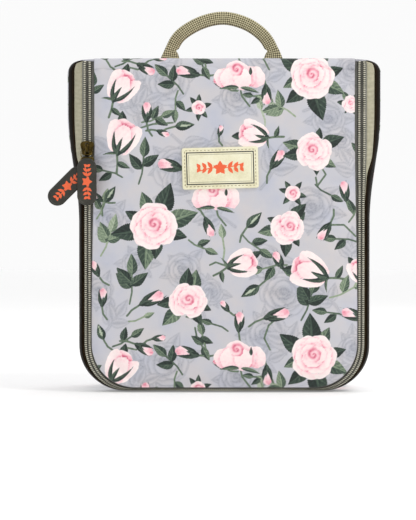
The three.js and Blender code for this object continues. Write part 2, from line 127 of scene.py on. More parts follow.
def make_floor_and_backdrop():
    half, far = FLOOR_HALF, BACKDROP_Y
    floor = [(-half, -half, 0), (half, -half, 0), (half, half, 0), (-half, half, 0)]
    backdrop = [(-half, far, 0), (half, far, 0), (half, far, half), (-half, far, half)]
    make_stage("floor", floor, 0.78, 0.22)
    make_stage("backdrop", backdrop, 0.05, 0.9)


make_camera()
make_studio()
make_floor_and_backdrop()


# ---------------------------------------------------------------- node helpers
class Nodes:
    """Short names for building a material out of nodes."""

    def __init__(self, name, roughness=0.7, metallic=0.0, **shader_values):
        self.material = bpy.data.materials.new(name)
        self.material.use_nodes = True
        self.tree = self.material.node_tree
        self.shader = self.tree.nodes["Principled BSDF"]
        self.shader.inputs["Roughness"].default_value = roughness
        self.shader.inputs["Metallic"].default_value = metallic
        for socket, value in shader_values.items():
            self.shader.inputs[socket.replace("_", " ")].default_value = value

    def link(self, source, target):
        if isinstance(source, bpy.types.NodeSocket):
            self.tree.links.new(source, target)
        else:
            target.default_value = source

    def node(self, kind, **settings):
        node = self.tree.nodes.new(kind)
        for key, value in settings.items():
            setattr(node, key, value)
        return node

    def math(self, operation, a, b=0.0, c=0.0, clamp=False):
        node = self.node("ShaderNodeMath", operation=operation, use_clamp=clamp)
        for socket, value in zip(node.inputs, (a, b, c)):
            self.link(value, socket)
        return node.outputs[0]

    def mix(self, factor, a, b, blend="MIX"):
        node = self.node("ShaderNodeMix", data_type="RGBA", blend_type=blend)
        self.link(factor, node.inputs[0])
        self.link(a, node.inputs[6])
        self.link(b, node.inputs[7])
        return node.outputs[2]

    def ramp(self, value, stops):
        """Colours along a value. Each stop is its place, then red, green and blue from 0 to 255."""
        node = self.node("ShaderNodeValToRGB")
        elements = node.color_ramp.elements
        while len(elements) < len(stops):
            elements.new(0.5)
        for element, (place, *colour) in zip(elements, stops):
            element.position = place
            element.color = rgba(*colour)
        self.link(value, node.inputs[0])
        return node.outputs[0]

    def step(self, value, low, high):
        """0 below low, 1 above high, smooth in between."""
        node = self.node("ShaderNodeMapRange", interpolation_type="SMOOTHSTEP")
        self.link(value, node.inputs[0])
        node.inputs[1].default_value = low
        node.inputs[2].default_value = high
        return node.outputs[0]

    def axes(self, vector):
        split = self.node("ShaderNodeSeparateXYZ")
        self.link(vector, split.inputs[0])
        return split.outputs

    def attribute_vector(self, name):
        return self.node("ShaderNodeAttribute", attribute_name=name).outputs["Vector"]

    def attribute(self, name):
        return self.axes(self.attribute_vector(name))

    def object_place(self):
        return self.node("ShaderNodeTexCoord").outputs["Object"]

    def noise(self, vector, scale, detail):
        node = self.node("ShaderNodeTexNoise")
        self.link(vector, node.inputs["Vector"])
        node.inputs["Scale"].default_value = scale
        node.inputs["Detail"].default_value = detail
        return node.outputs[0]

    def bump(self, height, distance, strength=1.0):
        node = self.node("ShaderNodeBump")
        node.inputs["Strength"].default_value = strength
        node.inputs["Distance"].default_value = distance
        self.link(height, node.inputs["Height"])
        self.link(node.outputs[0], self.shader.inputs["Normal"])

    def colour(self, value):
        self.link(value, self.shader.inputs["Base Color"])

    def weave(self, vector, scale):
        """A plain weave's height, from 0 to 1, over the first two axes of a vector in millimetres."""
        axes = self.axes(vector)
        across = self.math("SINE", self.math("MULTIPLY", axes[0], scale))
        along = self.math("SINE", self.math("MULTIPLY", axes[1], scale))
        return self.math("MULTIPLY_ADD", self.math("MULTIPLY", across, along), 0.5, 0.5)

    def wave(self, value, pitch):
        """A wave from 0 to 1."""
        swing = self.math("SINE", self.math("MULTIPLY", value, 2 * math.pi / pitch))
        return self.math("MULTIPLY_ADD", swing, 0.5, 0.5)


def rgba(red, green, blue):
    """A linear colour from the usual 0 to 255 values."""
    def linear(value):
        share = value / 255
        return share / 12.92 if share <= 0.04045 else ((share + 0.055) / 1.055) ** 2.4
    return (linear(red), linear(green), linear(blue), 1)


# ---------------------------------------------------------------- the rose print
# The print is one tile, repeated both ways. Each motif is listed with its place, in millimetres on the
# tile. A painter writes signed distances and tones onto a mesh's points, and the fabric material
# turns them into crisp petals and leaves.
TILE_WIDTH = 200.0
TILE_HEIGHT = 195.0
FAR = -9.0


class Print:
    """Paints motifs onto points. It keeps signed distances, which are positive inside a shape."""

    def __init__(self, across, along):
        count = len(across)
        self.x = across
        self.y = along
        self.leaf_edge = np.full(count, FAR)
        self.leaf_u = np.zeros(count)
        self.leaf_v = np.zeros(count)
        self.leaf_tone = np.zeros(count)
        self.bloom_edge = np.full(count, FAR)
        self.bloom_tone = np.zeros(count)

    def near(self, x, y, reach):
        """The points round a place, and their offsets from it."""
        dx = self.x - x
        dy = self.y - y
        keep = np.nonzero((np.abs(dx) < reach) & (np.abs(dy) < reach))[0]
        return keep, dx[keep], dy[keep]

    def cover(self, keep, edge, mine, other):
        """Puts a shape on top: its own distance joins its kind's, and it cuts the other kind."""
        inside = edge > 0
        mine[keep] = np.where(inside, edge, np.maximum(mine[keep], edge))
        other[keep] = np.minimum(other[keep], -edge)

    def leaf(self, x, y, angle, length, width, tone=0.5, bend=0.0, point=0.7):
        keep, dx, dy = self.near(x, y, length * 1.3 + 3)
        if not len(keep):
            return
        c, s = math.cos(angle), math.sin(angle)
        u = (dx * c + dy * s) / length
        v = -dx * s + dy * c - bend * length * u * u
        span = np.clip(u, 0.0, 1.0)
        half = width / 2 * np.sin(math.pi * span ** point) ** 1.05 + 0.02
        half = half * (1 + 0.05 * np.sin(span * length * 4.2))
        edge = half - np.abs(v)
        past = np.maximum(-u, u - 1) * length
        edge = np.where(past > 0, -np.hypot(past, np.maximum(np.abs(v) - half, 0)), edge)
        edge = np.clip(edge, FAR, 9)
        reach = edge > np.maximum(self.leaf_edge[keep], -1.2)
        reach |= edge > 0
        chosen = keep[reach]
        self.leaf_u[chosen] = u[reach]
        self.leaf_v[chosen] = np.clip(v[reach] / np.maximum(half[reach], 0.4), -1.5, 1.5)
        self.leaf_tone[chosen] = tone
        self.cover(keep, edge, self.leaf_edge, self.bloom_edge)

    def stem(self, points, width=0.9, tone=0.35):
        """A thin curved stem through three or more points."""
        for start, end in zip(points[:-1], points[1:]):
            x0, y0 = start
            x1, y1 = end
            run = math.hypot(x1 - x0, y1 - y0)
            keep = self.near((x0 + x1) / 2, (y0 + y1) / 2, run / 2 + 3)[0]
            if not len(keep):
                continue
            ax = self.x[keep] - x0
            ay = self.y[keep] - y0
            share = np.clip((ax * (x1 - x0) + ay * (y1 - y0)) / run ** 2, 0, 1)
            gap = np.hypot(ax - share * (x1 - x0), ay - share * (y1 - y0))
            edge = width / 2 - gap
            reach = edge > np.maximum(self.leaf_edge[keep], -0.8)
            chosen = keep[reach]
            self.leaf_u[chosen] = 0.5
            self.leaf_v[chosen] = 0.5
            self.leaf_tone[chosen] = tone
            self.leaf_edge[keep] = np.maximum(self.leaf_edge[keep], edge)

    def petal(self, x, y, rx, ry, angle, rim=0.1, heart=0.5, heart_way=None, shadow=0.35, scallop=0.0):
        """One petal: pale at its rim, pinker towards its heart, with a soft shadow round it."""
        keep, dx, dy = self.near(x, y, max(rx, ry) * 1.35 + 2)
        if not len(keep):
            return
        c, s = math.cos(angle), math.sin(angle)
        u = (dx * c + dy * s) / rx
        v = (-dx * s + dy * c) / ry
        radius = np.hypot(u, v)
        turn = np.arctan2(v, u)
        limit = 1 + scallop * np.sin(turn * 3 + x) + scallop * 0.5 * np.sin(turn * 7 + y)
        edge = (limit - radius) * min(rx, ry)
        old = self.bloom_edge[keep]
        tone = self.bloom_tone[keep]
        near_rim = np.exp(-np.clip(-edge, 0, None) / (0.13 * min(rx, ry) + 0.25))
        tone = np.where((edge <= 0) & (old > 0), np.maximum(tone, tone + shadow * near_rim), tone)
        if heart_way is None:
            share = 1 - radius / limit
        else:
            share = 0.5 + 0.5 * (u * math.cos(heart_way - angle) + v * math.sin(heart_way - angle))
        share = np.clip(share, 0, 1)
        own = rim + (heart - rim) * share ** 1.5
        own = own + 0.05 * np.sin(turn * 9 + x * 3) * share
        reach = edge > np.maximum(old, -1.0)
        reach |= edge > 0
        tone = np.where(reach, own, tone)
        self.bloom_tone[keep] = np.clip(tone, 0, 1)
        self.cover(keep, edge, self.bloom_edge, self.leaf_edge)

    def rose(self, x, y, radius, turn=0.0, squash=1.0, lean=0.0, petals=7):
        """A full rose: an outer ruffle, two rings of cupped petals and a wound heart."""
        for ring, (count, place, size, rim, heart) in enumerate([
            (petals, 0.56, 0.50, -0.05, 0.42),
            (petals - 1, 0.40, 0.44, 0.0, 0.58),
            (petals - 2, 0.22, 0.36, 0.08, 0.72),
        ]):
            for i in range(count):
                way = turn + ring * 0.5 + 2 * math.pi * (i + 0.35 * math.sin(i * 2.3 + x)) / count
                px = x + radius * place * math.cos(way) + lean * ring * radius * 0.07
                py = y + radius * place * math.sin(way) * squash + ring * radius * 0.04
                self.petal(
                    px, py, radius * size * 0.92, radius * size * 1.1, way,
                    rim, heart, heart_way=way + math.pi, shadow=0.3, scallop=0.05,
                )
        self.heart(x + lean * radius * 0.2, y + radius * 0.1, radius * 0.33, turn)

    def heart(self, x, y, radius, turn):
        """The rose's centre: a wound spiral of small petals."""
        keep, dx, dy = self.near(x, y, radius * 1.4)
        if not len(keep):
            return
        r = np.hypot(dx, dy) / radius
        way = np.arctan2(dy, dx)
        wound = np.cos(way + 5.2 * np.sqrt(r) * 2.4 + turn)
        tone = 0.52 + 0.25 * wound + 0.2 * (1 - r) + 0.08 * np.sin(2 * way + 3)
        inside = (r < 1 + 0.06 * np.sin(way * 5)) & (self.bloom_edge[keep] > 0)
        chosen = keep[inside]
        self.bloom_tone[chosen] = np.clip(tone[inside], 0, 1)

    def crown(self, x, y, radius, count=7, turn=0.0, length=0.95, tone=0.15):
        """Leaves standing out from under a bloom."""
        for i in range(count):
            way = turn + 2 * math.pi * (i + 0.22 * math.sin(i * 3.1 + y)) / count
            size = radius * length * (1.05 + 0.3 * math.sin(i * 1.7 + x))
            self.leaf(
                x + radius * 0.58 * math.cos(way), y + radius * 0.58 * math.sin(way),
                way + 0.25 * math.sin(i * 2.1), size, size * 0.58, tone + 0.25 * (i % 3 == 1),
                bend=0.1 * (-1) ** i,
            )

    def side_rose(self, x, y, size, way):
        """A half-open rose from the side. Way points from its base to its open end."""
        c, s = math.cos(way), math.sin(way)

        def at(forward, side):
            return x + size * (c * forward - s * side), y + size * (s * forward + c * side)

        base = at(-0.5, 0)
        self.stem([at(-1.0, -0.16), at(-0.75, -0.1), base], 1.5)
        self.leaf(*at(-0.7, -0.08), way - 1.9, size * 0.4, size * 0.17, 0.25, bend=0.2)
        self.leaf(*at(0.3, 0.12), way + 0.3, size * 0.42, size * 0.26, 0.12)
        self.petal(*at(0.17, 0.02), size * 0.33, size * 0.36, way, 0.12, 0.75, way + math.pi, 0.3, 0.06)
        self.petal(*at(0.22, -0.1), size * 0.2, size * 0.2, way, 0.25, 0.85, way + 2.2, 0.4)
        self.petal(*at(-0.02, 0.22), size * 0.46, size * 0.24, way + 0.28, 0.0, 0.34, way - 1.2, 0.45, 0.03)
        self.petal(*at(-0.03, -0.22), size * 0.47, size * 0.23, way - 0.3, 0.0, 0.4, way + 1.3, 0.45, 0.03)
        self.petal(*at(-0.08, 0.0), size * 0.42, size * 0.25, way + 0.12, 0.02, 0.3, way + 0.4, 0.5, 0.02)
        self.leaf(*base, way + 0.86, size * 0.66, size * 0.13, 0.16, bend=-0.5)
        self.leaf(*base, way - 0.86, size * 0.74, size * 0.13, 0.16, bend=0.5)
        self.leaf(*base, way + 0.2, size * 0.5, size * 0.12, 0.2, bend=-0.2)
        self.leaf(*at(-0.56, 0.0), way, size * 0.2, size * 0.2, 0.2, point=1.0)
        self.leaf(*base, way + 1.5, size * 0.4, size * 0.08, 0.3, bend=0.5)

    def double_bloom(self, x, y, size):
        """Two half-open heads on one stem, seen from the side."""
        self.stem([(x, y - size * 0.35), (x + 1.5, y - size * 0.75), (x + 7, y - size * 1.15)], 1.3)
        for dx, dy, rx, ry, rim, heart in (
            (0.62, -0.02, 0.36, 0.42, 0.03, 0.42), (0.36, 0.02, 0.26, 0.4, 0.05, 0.5),
            (-0.62, -0.04, 0.36, 0.4, 0.03, 0.45), (-0.1, 0.2, 0.5, 0.42, 0.1, 0.5),
            (-0.34, -0.06, 0.4, 0.44, 0.05, 0.42), (0.12, -0.1, 0.34, 0.42, 0.05, 0.4),
        ):
            self.petal(
                x + dx * size, y + dy * size, rx * size, ry * size, 0,
                rim, heart, -math.pi / 2, scallop=0.05,
            )
        self.heart(x - size * 0.12, y + size * 0.3, size * 0.27, 1.0)
        self.leaf(x - 0.5, y - size * 0.42, math.pi * 0.96, size * 0.75, size * 0.17, 0.3, bend=0.2)
        self.leaf(x + 0.5, y - size * 0.42, -0.1, size * 0.8, size * 0.16, 0.35, bend=-0.2)
        self.leaf(x + size * 0.42, y + size * 0.06, math.pi / 2, size * 0.34, size * 0.13, 0.15)

    def bud(self, x, y, size, way, closed=False):
        """A bud with its sepals and a short stem. Way points from its base to its tip."""
        c, s = math.cos(way), math.sin(way)
        base = (x - c * size * 0.45, y - s * size * 0.45)
        bent = (base[0] - c * size * 0.45 + s * 1.2, base[1] - s * size * 0.45 - c)
        self.stem([(bent[0] - c * size * 0.3 + s * 3, bent[1] - s * size * 0.3 - c * 2), bent, base], 1.35)
        if closed:
            self.leaf(*base, way, size, size * 0.48, 0.2)
            self.leaf(x - c * size * 0.2, y - s * size * 0.2, way, size * 0.6, size * 0.12, 0.95)
            return
        for spread, reach in ((0.62, 0.95), (-0.6, 1.02)):
            self.leaf(*base, way + spread, size * reach, size * 0.2, 0.1, bend=-0.55 * np.sign(spread))
        self.petal(x + c * size * 0.1, y + s * size * 0.1, size * 0.46, size * 0.27, way, 0.0, 0.5, way, 0.3)
        self.petal(
            x + c * size * 0.22 - s, y + s * size * 0.22 + c, size * 0.26, size * 0.13, way, 0.3, 0.72, way,
        )
        self.leaf(*base, way + 0.52, size * 0.95, size * 0.19, 0.12, bend=-0.3)
        self.leaf(*base, way - 0.56, size * 0.88, size * 0.19, 0.14, bend=0.32)
        self.leaf(*base, way - 0.05, size * 0.56, size * 0.14, 0.18, bend=-0.06)
        cup = (base[0] - c * size * 0.1, base[1] - s * size * 0.1)
        self.leaf(*cup, way, size * 0.32, size * 0.24, 0.15, point=1.0)

    def star(self, x, y, radius, turn=0.0):
        """A small rosette in a star of sepals."""
        for i in range(6):
            way = turn + i * math.pi / 3 + 0.2 * math.sin(i * 2.0)
            base = (x + 2 * math.cos(way), y + 2 * math.sin(way))
            self.leaf(*base, way, radius * 1.5, radius * 0.7, 0.1 + 0.1 * (i % 2))
        for i in range(5):
            way = turn + i * 2 * math.pi / 5
            middle = (x + radius * 0.45 * math.cos(way), y + radius * 0.45 * math.sin(way))
            self.petal(*middle, radius * 0.52, radius * 0.6, way, 0.12, 0.55, way + math.pi)
        self.heart(x, y, radius * 0.55, turn)

    def sprig(self, x, y, size, way, leaves=3, tone=0.45):
        """A short stem with leaves to each side and one at its tip."""
        c, s = math.cos(way), math.sin(way)
        tip = (x + c * size * 0.6, y + s * size * 0.6)
        self.stem([(x - c * size * 0.4, y - s * size * 0.4), (x + s, y - c), tip], 1.2, tone)
        self.leaf(*tip, way, size * 0.74, size * 0.36, tone, bend=0.1)
        for i in range(leaves - 1):
            side = -1 if i % 2 else 1
            place = 0.15 + 0.3 * i / max(leaves - 1, 1)
            at = (x + c * size * place, y + s * size * place)
            self.leaf(*at, way + side * 0.95, size * 0.72, size * 0.36, tone - 0.15, bend=-0.1 * side)


# Motifs listed on the tile: across from the middle, and up from the base.
FULL_ROSES = [(60.5, 25, 15.5, 0.2, 1.0, 0.0), (-48.5, 116, 16.0, 1.1, 1.02, 0.0)]
LEANING_ROSES = [
    (62, 168, 12.5, 0.5, 1.1, -0.5), (-25, 64, 13.0, 2.0, 0.92, 0.2),
    (43, 115, 11.5, 1.4, 1.1, 0.8), (87.5, 201, 6.0, 0.0, 1.0, 0.0),
]
SIDE_ROSES = [
    (-71, 18, 23, 1.0), (-70.5, 178, 25, 1.25), (58, 85, 26, 2.75), (12, 90, 21, 0.25),
    (20, 180, 21, 2.9), (92, 85, 17, 1.9),
]
DOUBLE_BLOOMS = [(10.5, 25, 18), (-6, 136, 17)]
OPEN_BUDS = [
    (-55, 31, 12, -0.5), (-54, 195, 12, 1.55), (-43, 181, 8, -0.4), (-3, 182, 7, 1.3), (-37, 158, 15, 2.9),
    (-11, 116, 12, -1.2), (29, 13, 12, -1.5), (36, 162, 13, 0.95), (83, 140, 12, 1.7), (-83, 66, 11, 1.5),
    (-50, 65, 15, 0.45), (0.5, 60, 8, 2.2), (10, 49, 12, 1.5), (-25, 28, 14, 2.9), (-45, 38, 8, 0.1),
    (69, 113, 12, -2.2), (37, 92, 11, 2.0), (35, 54, 15, 0.25), (88, 54, 14, 2.8), (-88, 86, 10, 2.0),
    (-88, 136, 9, 2.6), (-3, 20, 9, 2.5),
]
CLOSED_BUDS = [
    (-28, 186, 14, 0.1), (20, 120, 15, 0.8), (18, 71, 15, 3.7), (-79, 138, 13, 1.0), (-84, 42, 12, 1.9),
]
STARS = [(-18, 3.5, 5.2, 0.3), (47, 139, 5.6, 0.9)]
SPRIGS = [
    (-33, 18, 14, 2.3, 3, 0.3), (-33, 10, 11, -1.7, 2, 0.4), (43, 196, 15, 2.6, 4, 0.6),
    (-82, 102, 15, 1.2, 4, 0.6), (-64, 70, 17, 1.5, 4, 0.35), (55, 58, 17, 1.2, 4, 0.3),
    (-58, 153, 16, 1.4, 3, 0.3), (-76, 152, 12, 2.8, 2, 0.3), (17, 106, 13, -0.7, 2, 0.35),
    (85, 106, 12, 3.0, 2, 0.3), (78, 69, 15, 0.4, 2, 0.6), (78, 54, 12, 2.9, 2, 0.3),
    (27, 190, 10, 1.8, 1, 0.7), (-1, 99, 12, 1.6, 1, 0.6), (-71, 35, 12, 0.5, 2, 0.3),
    (-18, 40, 12, -1.2, 2, 0.3), (67, 142, 11, -0.6, 1, 0.25), (-61, 51, 9, 0.3, 1, 0.55),
    (-14, 32, 12, 1.7, 2, 0.4), (36, 88, 14, 3.3, 2, 0.4), (-52, 190, 12, 0.3, 3, 0.4),
    (-2, 45, 10, 2.7, 1, 0.3), (-86, 126, 11, 1.2, 2, 0.5), (88, 124, 12, 1.1, 3, 0.4),
    (26, 10, 9, 2.9, 2, 0.3), (-20, 104, 11, -0.5, 2, 0.4), (95, 165, 12, 1.5, 3, 0.4),
    (-93, 10, 12, 1.4, 3, 0.4),
]
LONG_STEMS = [
    [(-63, 183), (-50, 187), (-36, 188)], [(38, 54), (30, 47), (27, 38), (31, 30)],
    [(72, 117), (82, 117), (90, 109)], [(58, 172), (70, 152), (64, 144), (63, 150)],
    [(-60, 30), (-68, 32), (-70, 26)], [(-26, 53), (-16, 50), (-14, 42)], [(2, 88), (-6, 91), (-10, 89)],
]
GHOST_ROSES = [
    (-57, 205, 19), (-33, 156, 22), (28, 90, 17), (60, 128, 20), (40, 68, 21), (-28, 85, 16), (-40, 20, 20),
    (28, 40, 18), (82, 175, 12), (-86, 70, 14), (8, 205, 16), (-78, 120, 14), (88, 30, 14), (-5, 165, 15),
    (-10, 70, 12), (72, 190, 15), (-60, 90, 13),
]
GHOST_SPRIGS = [
    (-70, 160, 22, 2.4), (30, 150, 24, 1.0), (85, 92, 18, 1.4), (-42, 140, 20, 0.6), (45, 30, 22, 2.0),
    (0, 120, 22, 2.6), (-80, 45, 18, 0.9), (62, 200, 20, 0.5), (-15, 55, 20, 1.9), (20, 20, 18, 0.3),
    (-30, 175, 20, -0.6), (75, 60, 18, 2.2), (-65, 5, 18, 0.3), (90, 150, 18, 2.0),
]


MOTIF_REACH = 25


def tile_shifts(values, period):
    """The whole repeats of the pattern whose motifs can reach the points."""
    low = math.floor((values.min() - MOTIF_REACH - period) / period)
    high = math.ceil((values.max() + MOTIF_REACH) / period)
    return [i * period for i in range(low, high + 1)]


def paint_print(across, along):
    """The print's values at each point, from its place on the cloth in millimetres."""
    across = np.asarray(across, float).ravel()
    along = np.asarray(along, float).ravel()
    cloth = Print(across, along)
    ghost = Print(across, along)
    for sx in tile_shifts(across, TILE_WIDTH):
        for sy in tile_shifts(along, TILE_HEIGHT):
            for x, y, size in GHOST_ROSES:
                ghost.crown(x + sx, y + sy, size * 0.7, 5, x)
                ghost.rose(x + sx, y + sy, size * 0.75, x)
            for x, y, size, way in GHOST_SPRIGS:
                ghost.sprig(x + sx, y + sy, size, way, 4)
            for points in LONG_STEMS:
                cloth.stem([(x + sx, y + sy) for x, y in points], 1.25)
            for x, y, size, way, leaves, tone in SPRIGS:
                cloth.sprig(x + sx, y + sy, size * 1.2, way, leaves, tone)
            for x, y, size, way in CLOSED_BUDS:
                cloth.bud(x + sx, y + sy, size, way, closed=True)
            for x, y, size, way in OPEN_BUDS:
                cloth.bud(x + sx, y + sy, size * 1.12, way)
            for x, y, size, turn in STARS:
                cloth.star(x + sx, y + sy, size, turn)
            for x, y, size in DOUBLE_BLOOMS:
                cloth.double_bloom(x + sx, y + sy, size)
            for x, y, size, way in SIDE_ROSES:
                cloth.side_rose(x + sx, y + sy, size, way)
            for x, y, radius, turn, squash, lean in LEANING_ROSES:
                cloth.crown(x + sx, y + sy, radius, 6, turn + 1, 0.98, 0.12)
                cloth.rose(x + sx, y + sy, radius, turn, squash, lean, 6)
            for x, y, radius, turn, squash, lean in FULL_ROSES:
                cloth.crown(x + sx, y + sy, radius, 8, turn, 1.08, 0.1)
                cloth.rose(x + sx, y + sy, radius, turn, squash, lean)
    ghost_leaf = smoothstep(ghost.leaf_edge, -0.5, 0.5) * (0.42 + 0.3 * np.cos(ghost.leaf_v * 4.5))
    ghost_rim = np.exp(-(ghost.leaf_edge / 0.45) ** 2) * 0.75
    ghost_bloom = smoothstep(ghost.bloom_edge, -0.5, 0.5) * np.clip(ghost.bloom_tone * 1.9 - 0.15, 0, 1)
    ghost_outline = np.exp(-(ghost.bloom_edge / 0.5) ** 2) * 0.6
    shade = np.maximum.reduce([ghost_leaf, ghost_rim, ghost_bloom, ghost_outline])
    return {
        "print_leaf": np.stack([cloth.leaf_u, cloth.leaf_v, cloth.leaf_edge], 1),
        "print_bloom": np.stack([cloth.bloom_tone, cloth.bloom_edge, shade], 1),
        "print_tone": np.stack([cloth.leaf_tone] * 3, 1),
        "cloth_place": np.stack([across, along, across * 0], 1),
    }


# ---------------------------------------------------------------- mesh helpers
def smoothstep(values, low, high):
    t = np.clip((np.asarray(values, float) - low) / (high - low), 0, 1)
    return t * t * (3 - 2 * t)


def lerp(a, b, t):
    return a + (b - a) * t


def run_along(points):
    """Distance from the first of a line's points to each of them, in two dimensions."""
    return np.concatenate([[0], np.cumsum(np.hypot(*np.diff(points, axis=0).T))])


def ripple(x, y, seed=0.0):
    """Soft uneven waves between about -1 and 1, for cloth that isn't quite flat."""
    wave = np.sin(x * 0.061 + 1.3 * np.sin(y * 0.043 + seed) + seed * 2.1)
    wave = wave + 0.6 * np.sin(y * 0.083 + 1.1 * np.sin(x * 0.057 + seed * 1.7) + seed)
    wave = wave + 0.35 * np.sin((x + y) * 0.151 + seed * 3.1) * np.sin((x - y) * 0.117 + seed)
    return wave / 1.95


def new_object(name, points, faces, material):
    """A mesh object from points in millimetres."""
    mesh = bpy.data.meshes.new(name)
    mesh.from_pydata((np.asarray(points, float) * MM).tolist(), [], [tuple(f) for f in faces])
    edit = bmesh.new()
    edit.from_mesh(mesh)
    bmesh.ops.recalc_face_normals(edit, faces=edit.faces)
    edit.to_mesh(mesh)
    edit.free()
    mesh.polygons.foreach_set("use_smooth", [True] * len(mesh.polygons))
    mesh.materials.append(material)
    thing = bpy.data.objects.new(name, mesh)
    bpy.context.scene.collection.objects.link(thing)
    return thing


def place(thing, body, slot, *nodes):
    """Rides a piece on its body, and stands it in for its CAD nodes."""
    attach(thing, body)
    if nodes:
        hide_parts(*nodes)
    return thing


def sheet_faces(rows, columns, first=0):
    index = np.arange(rows * columns).reshape(rows, columns) + first
    corners = (index[:-1, :-1], index[:-1, 1:], index[1:, 1:], index[1:, :-1])
    return np.stack([c.ravel() for c in corners], 1)


def closed_grid(front, back):
    """A closed shell from two matching grids of points, each shaped rows, columns, 3."""
    rows, columns = front.shape[:2]
    count = rows * columns
    points = np.concatenate([front.reshape(-1, 3), back.reshape(-1, 3)])
    index = np.arange(count).reshape(rows, columns)
    loop = np.concatenate([index[0, :-1], index[:-1, -1], index[-1, :0:-1], index[:0:-1, 0]])
    after = np.roll(loop, -1)
    rim = np.stack([after, loop, loop + count, after + count], 1)
    faces = np.concatenate([sheet_faces(rows, columns), sheet_faces(rows, columns, count)[:, ::-1], rim])
    return points, faces.tolist()


def joined(shells):
    """Several meshes as one list of points and one of faces."""
    points, faces, offset = [], [], 0
    for shell_points, shell_faces in shells:
        points.append(shell_points)
        faces += [tuple(int(i) + offset for i in face) for face in shell_faces]
        offset += len(shell_points)
    return np.concatenate(points), faces


def tube_faces(rings, sides):
    """Faces of a lofted tube with flat ends."""
    index = np.arange(rings * sides).reshape(rings, sides)
    after = np.roll(index, -1, axis=1)
    corners = (index[:-1], after[:-1], after[1:], index[1:])
    walls = np.stack([c.ravel() for c in corners], 1).tolist()
    return walls + [index[0].tolist(), index[-1][::-1].tolist()]


def add_values(thing, values):
    """Stores named point values. A shell's back takes its front's values."""
    count = len(thing.data.vertices)
    for name, array in values.items():
        array = np.asarray(array, float).reshape(-1, 3)
        whole = np.resize(array, (count, 3))
        attribute = thing.data.attributes.new(name, "FLOAT_VECTOR", "POINT")
        attribute.data.foreach_set("vector", whole.astype(np.float32).ravel())


def make_shell(name, front, back, material, values, body, slot, *nodes):
    """A closed shell with its point values, riding on its body."""
    shell = new_object(name, *closed_grid(front, back), material)
    add_values(shell, values)
    return place(shell, body, slot, *nodes)


# ---------------------------------------------------------------- measurements, in millimetres
BODY_HEIGHT = 232
PANEL_HALF_WIDTH = 90.5
PANEL_LOW_Z = 4
PANEL_HIGH_Z = 230.5
PANEL_CORNER = 30
BASE_CORNER = 32
TOP_HALF_WIDTH = 111
LOW_HALF_WIDTH = 102.5
TOP_CORNER = 8
TOP_CORNER_Z = BODY_HEIGHT - TOP_CORNER
SIDE_LOW_Z = 34
TAPE_END = 9
ZONES = 7
PANEL_EDGE_Y = -38.9


def body_half_width(z):
    return lerp(LOW_HALF_WIDTH, TOP_HALF_WIDTH, smoothstep(z, 118, 196))


def border_stations(step):
    """Left side, base and right side in turn: the panel's edge, the rim, and the turn under."""
    edge, rim, under = [], [], []
    for angle in np.radians(np.linspace(90, 6, 10)):
        edge.append((-PANEL_HALF_WIDTH, TOP_CORNER_Z + 6.5 * math.sin(angle)))
        rim.append((
            -(TOP_HALF_WIDTH - TOP_CORNER) - TOP_CORNER * math.cos(angle),
            TOP_CORNER_Z + TOP_CORNER * math.sin(angle),
        ))
        under.append(0.0)
    for z in np.linspace(TOP_CORNER_Z, SIDE_LOW_Z, int((TOP_CORNER_Z - SIDE_LOW_Z) / step) + 1):
        edge.append((-PANEL_HALF_WIDTH, z))
        rim.append((-float(body_half_width(z)), z))
        under.append(0.0)
    corner_steps = int(50 / step)
    for i in range(1, corner_steps + 1):
        angle = math.pi / 2 * i / corner_steps
        c, s = math.cos(angle), math.sin(angle)
        x = PANEL_CORNER - PANEL_HALF_WIDTH - c * PANEL_CORNER
        edge.append((x, PANEL_LOW_Z + PANEL_CORNER * (1 - s)))
        rim.append((BASE_CORNER - LOW_HALF_WIDTH - c * BASE_CORNER, BASE_CORNER * (1 - s)))
        under.append(float(smoothstep(i / corner_steps, 0, 1)))
    base_steps = int(60 / step)
    for i in range(1, base_steps + 1):
        share = 1 - i / base_steps
        edge.append((-(PANEL_HALF_WIDTH - PANEL_CORNER) * share, PANEL_LOW_Z))
        rim.append((-(LOW_HALF_WIDTH - BASE_CORNER) * share, 0.0))
        under.append(1.0)
    flip = np.array([-1.0, 1.0])
    edge = np.array(edge)
    rim = np.array(rim)
    edge = np.concatenate([edge, edge[-2::-1] * flip])
    rim = np.concatenate([rim, rim[-2::-1] * flip])
    return edge, rim, np.array(under + under[-2::-1])


SIDE_OUT = [0, 2.2, 5, 7.8, 9, 0.48, 0.88, 1.0]
SIDE_DEPTH = [-38.6, -38.5, -38.2, -37.6, -36.8, -32, -23, -12]
BASE_OUT = [0, 1.1, 2.1, 2.9, 3.3, 3.7, 3.9, 4]
BASE_DEPTH = [-38.6, -36.8, -34.6, -32, -29.6, -25, -18, -12]


def spline(knots, place):
    """A smooth curve through evenly numbered knots, shaped curves, knots, 2."""
    count = knots.shape[1]
    place = np.broadcast_to(place, (len(knots), np.shape(place)[-1]))
    index = np.clip(np.floor(place).astype(int), 0, count - 2)
    t = (place - index)[..., None]
    curve = np.arange(len(knots))[:, None]
    p0 = knots[curve, np.maximum(index - 1, 0)]
    p1 = knots[curve, index]
    p2 = knots[curve, index + 1]
    p3 = knots[curve, np.minimum(index + 2, count - 1)]
    v0 = (p2 - p0) / 2
    v1 = (p3 - p1) / 2
    return (2 * p1 - 2 * p2 + v0 + v1) * t ** 3 + (-3 * p1 + 3 * p2 - 2 * v0 - v1) * t ** 2 + v0 * t + p1


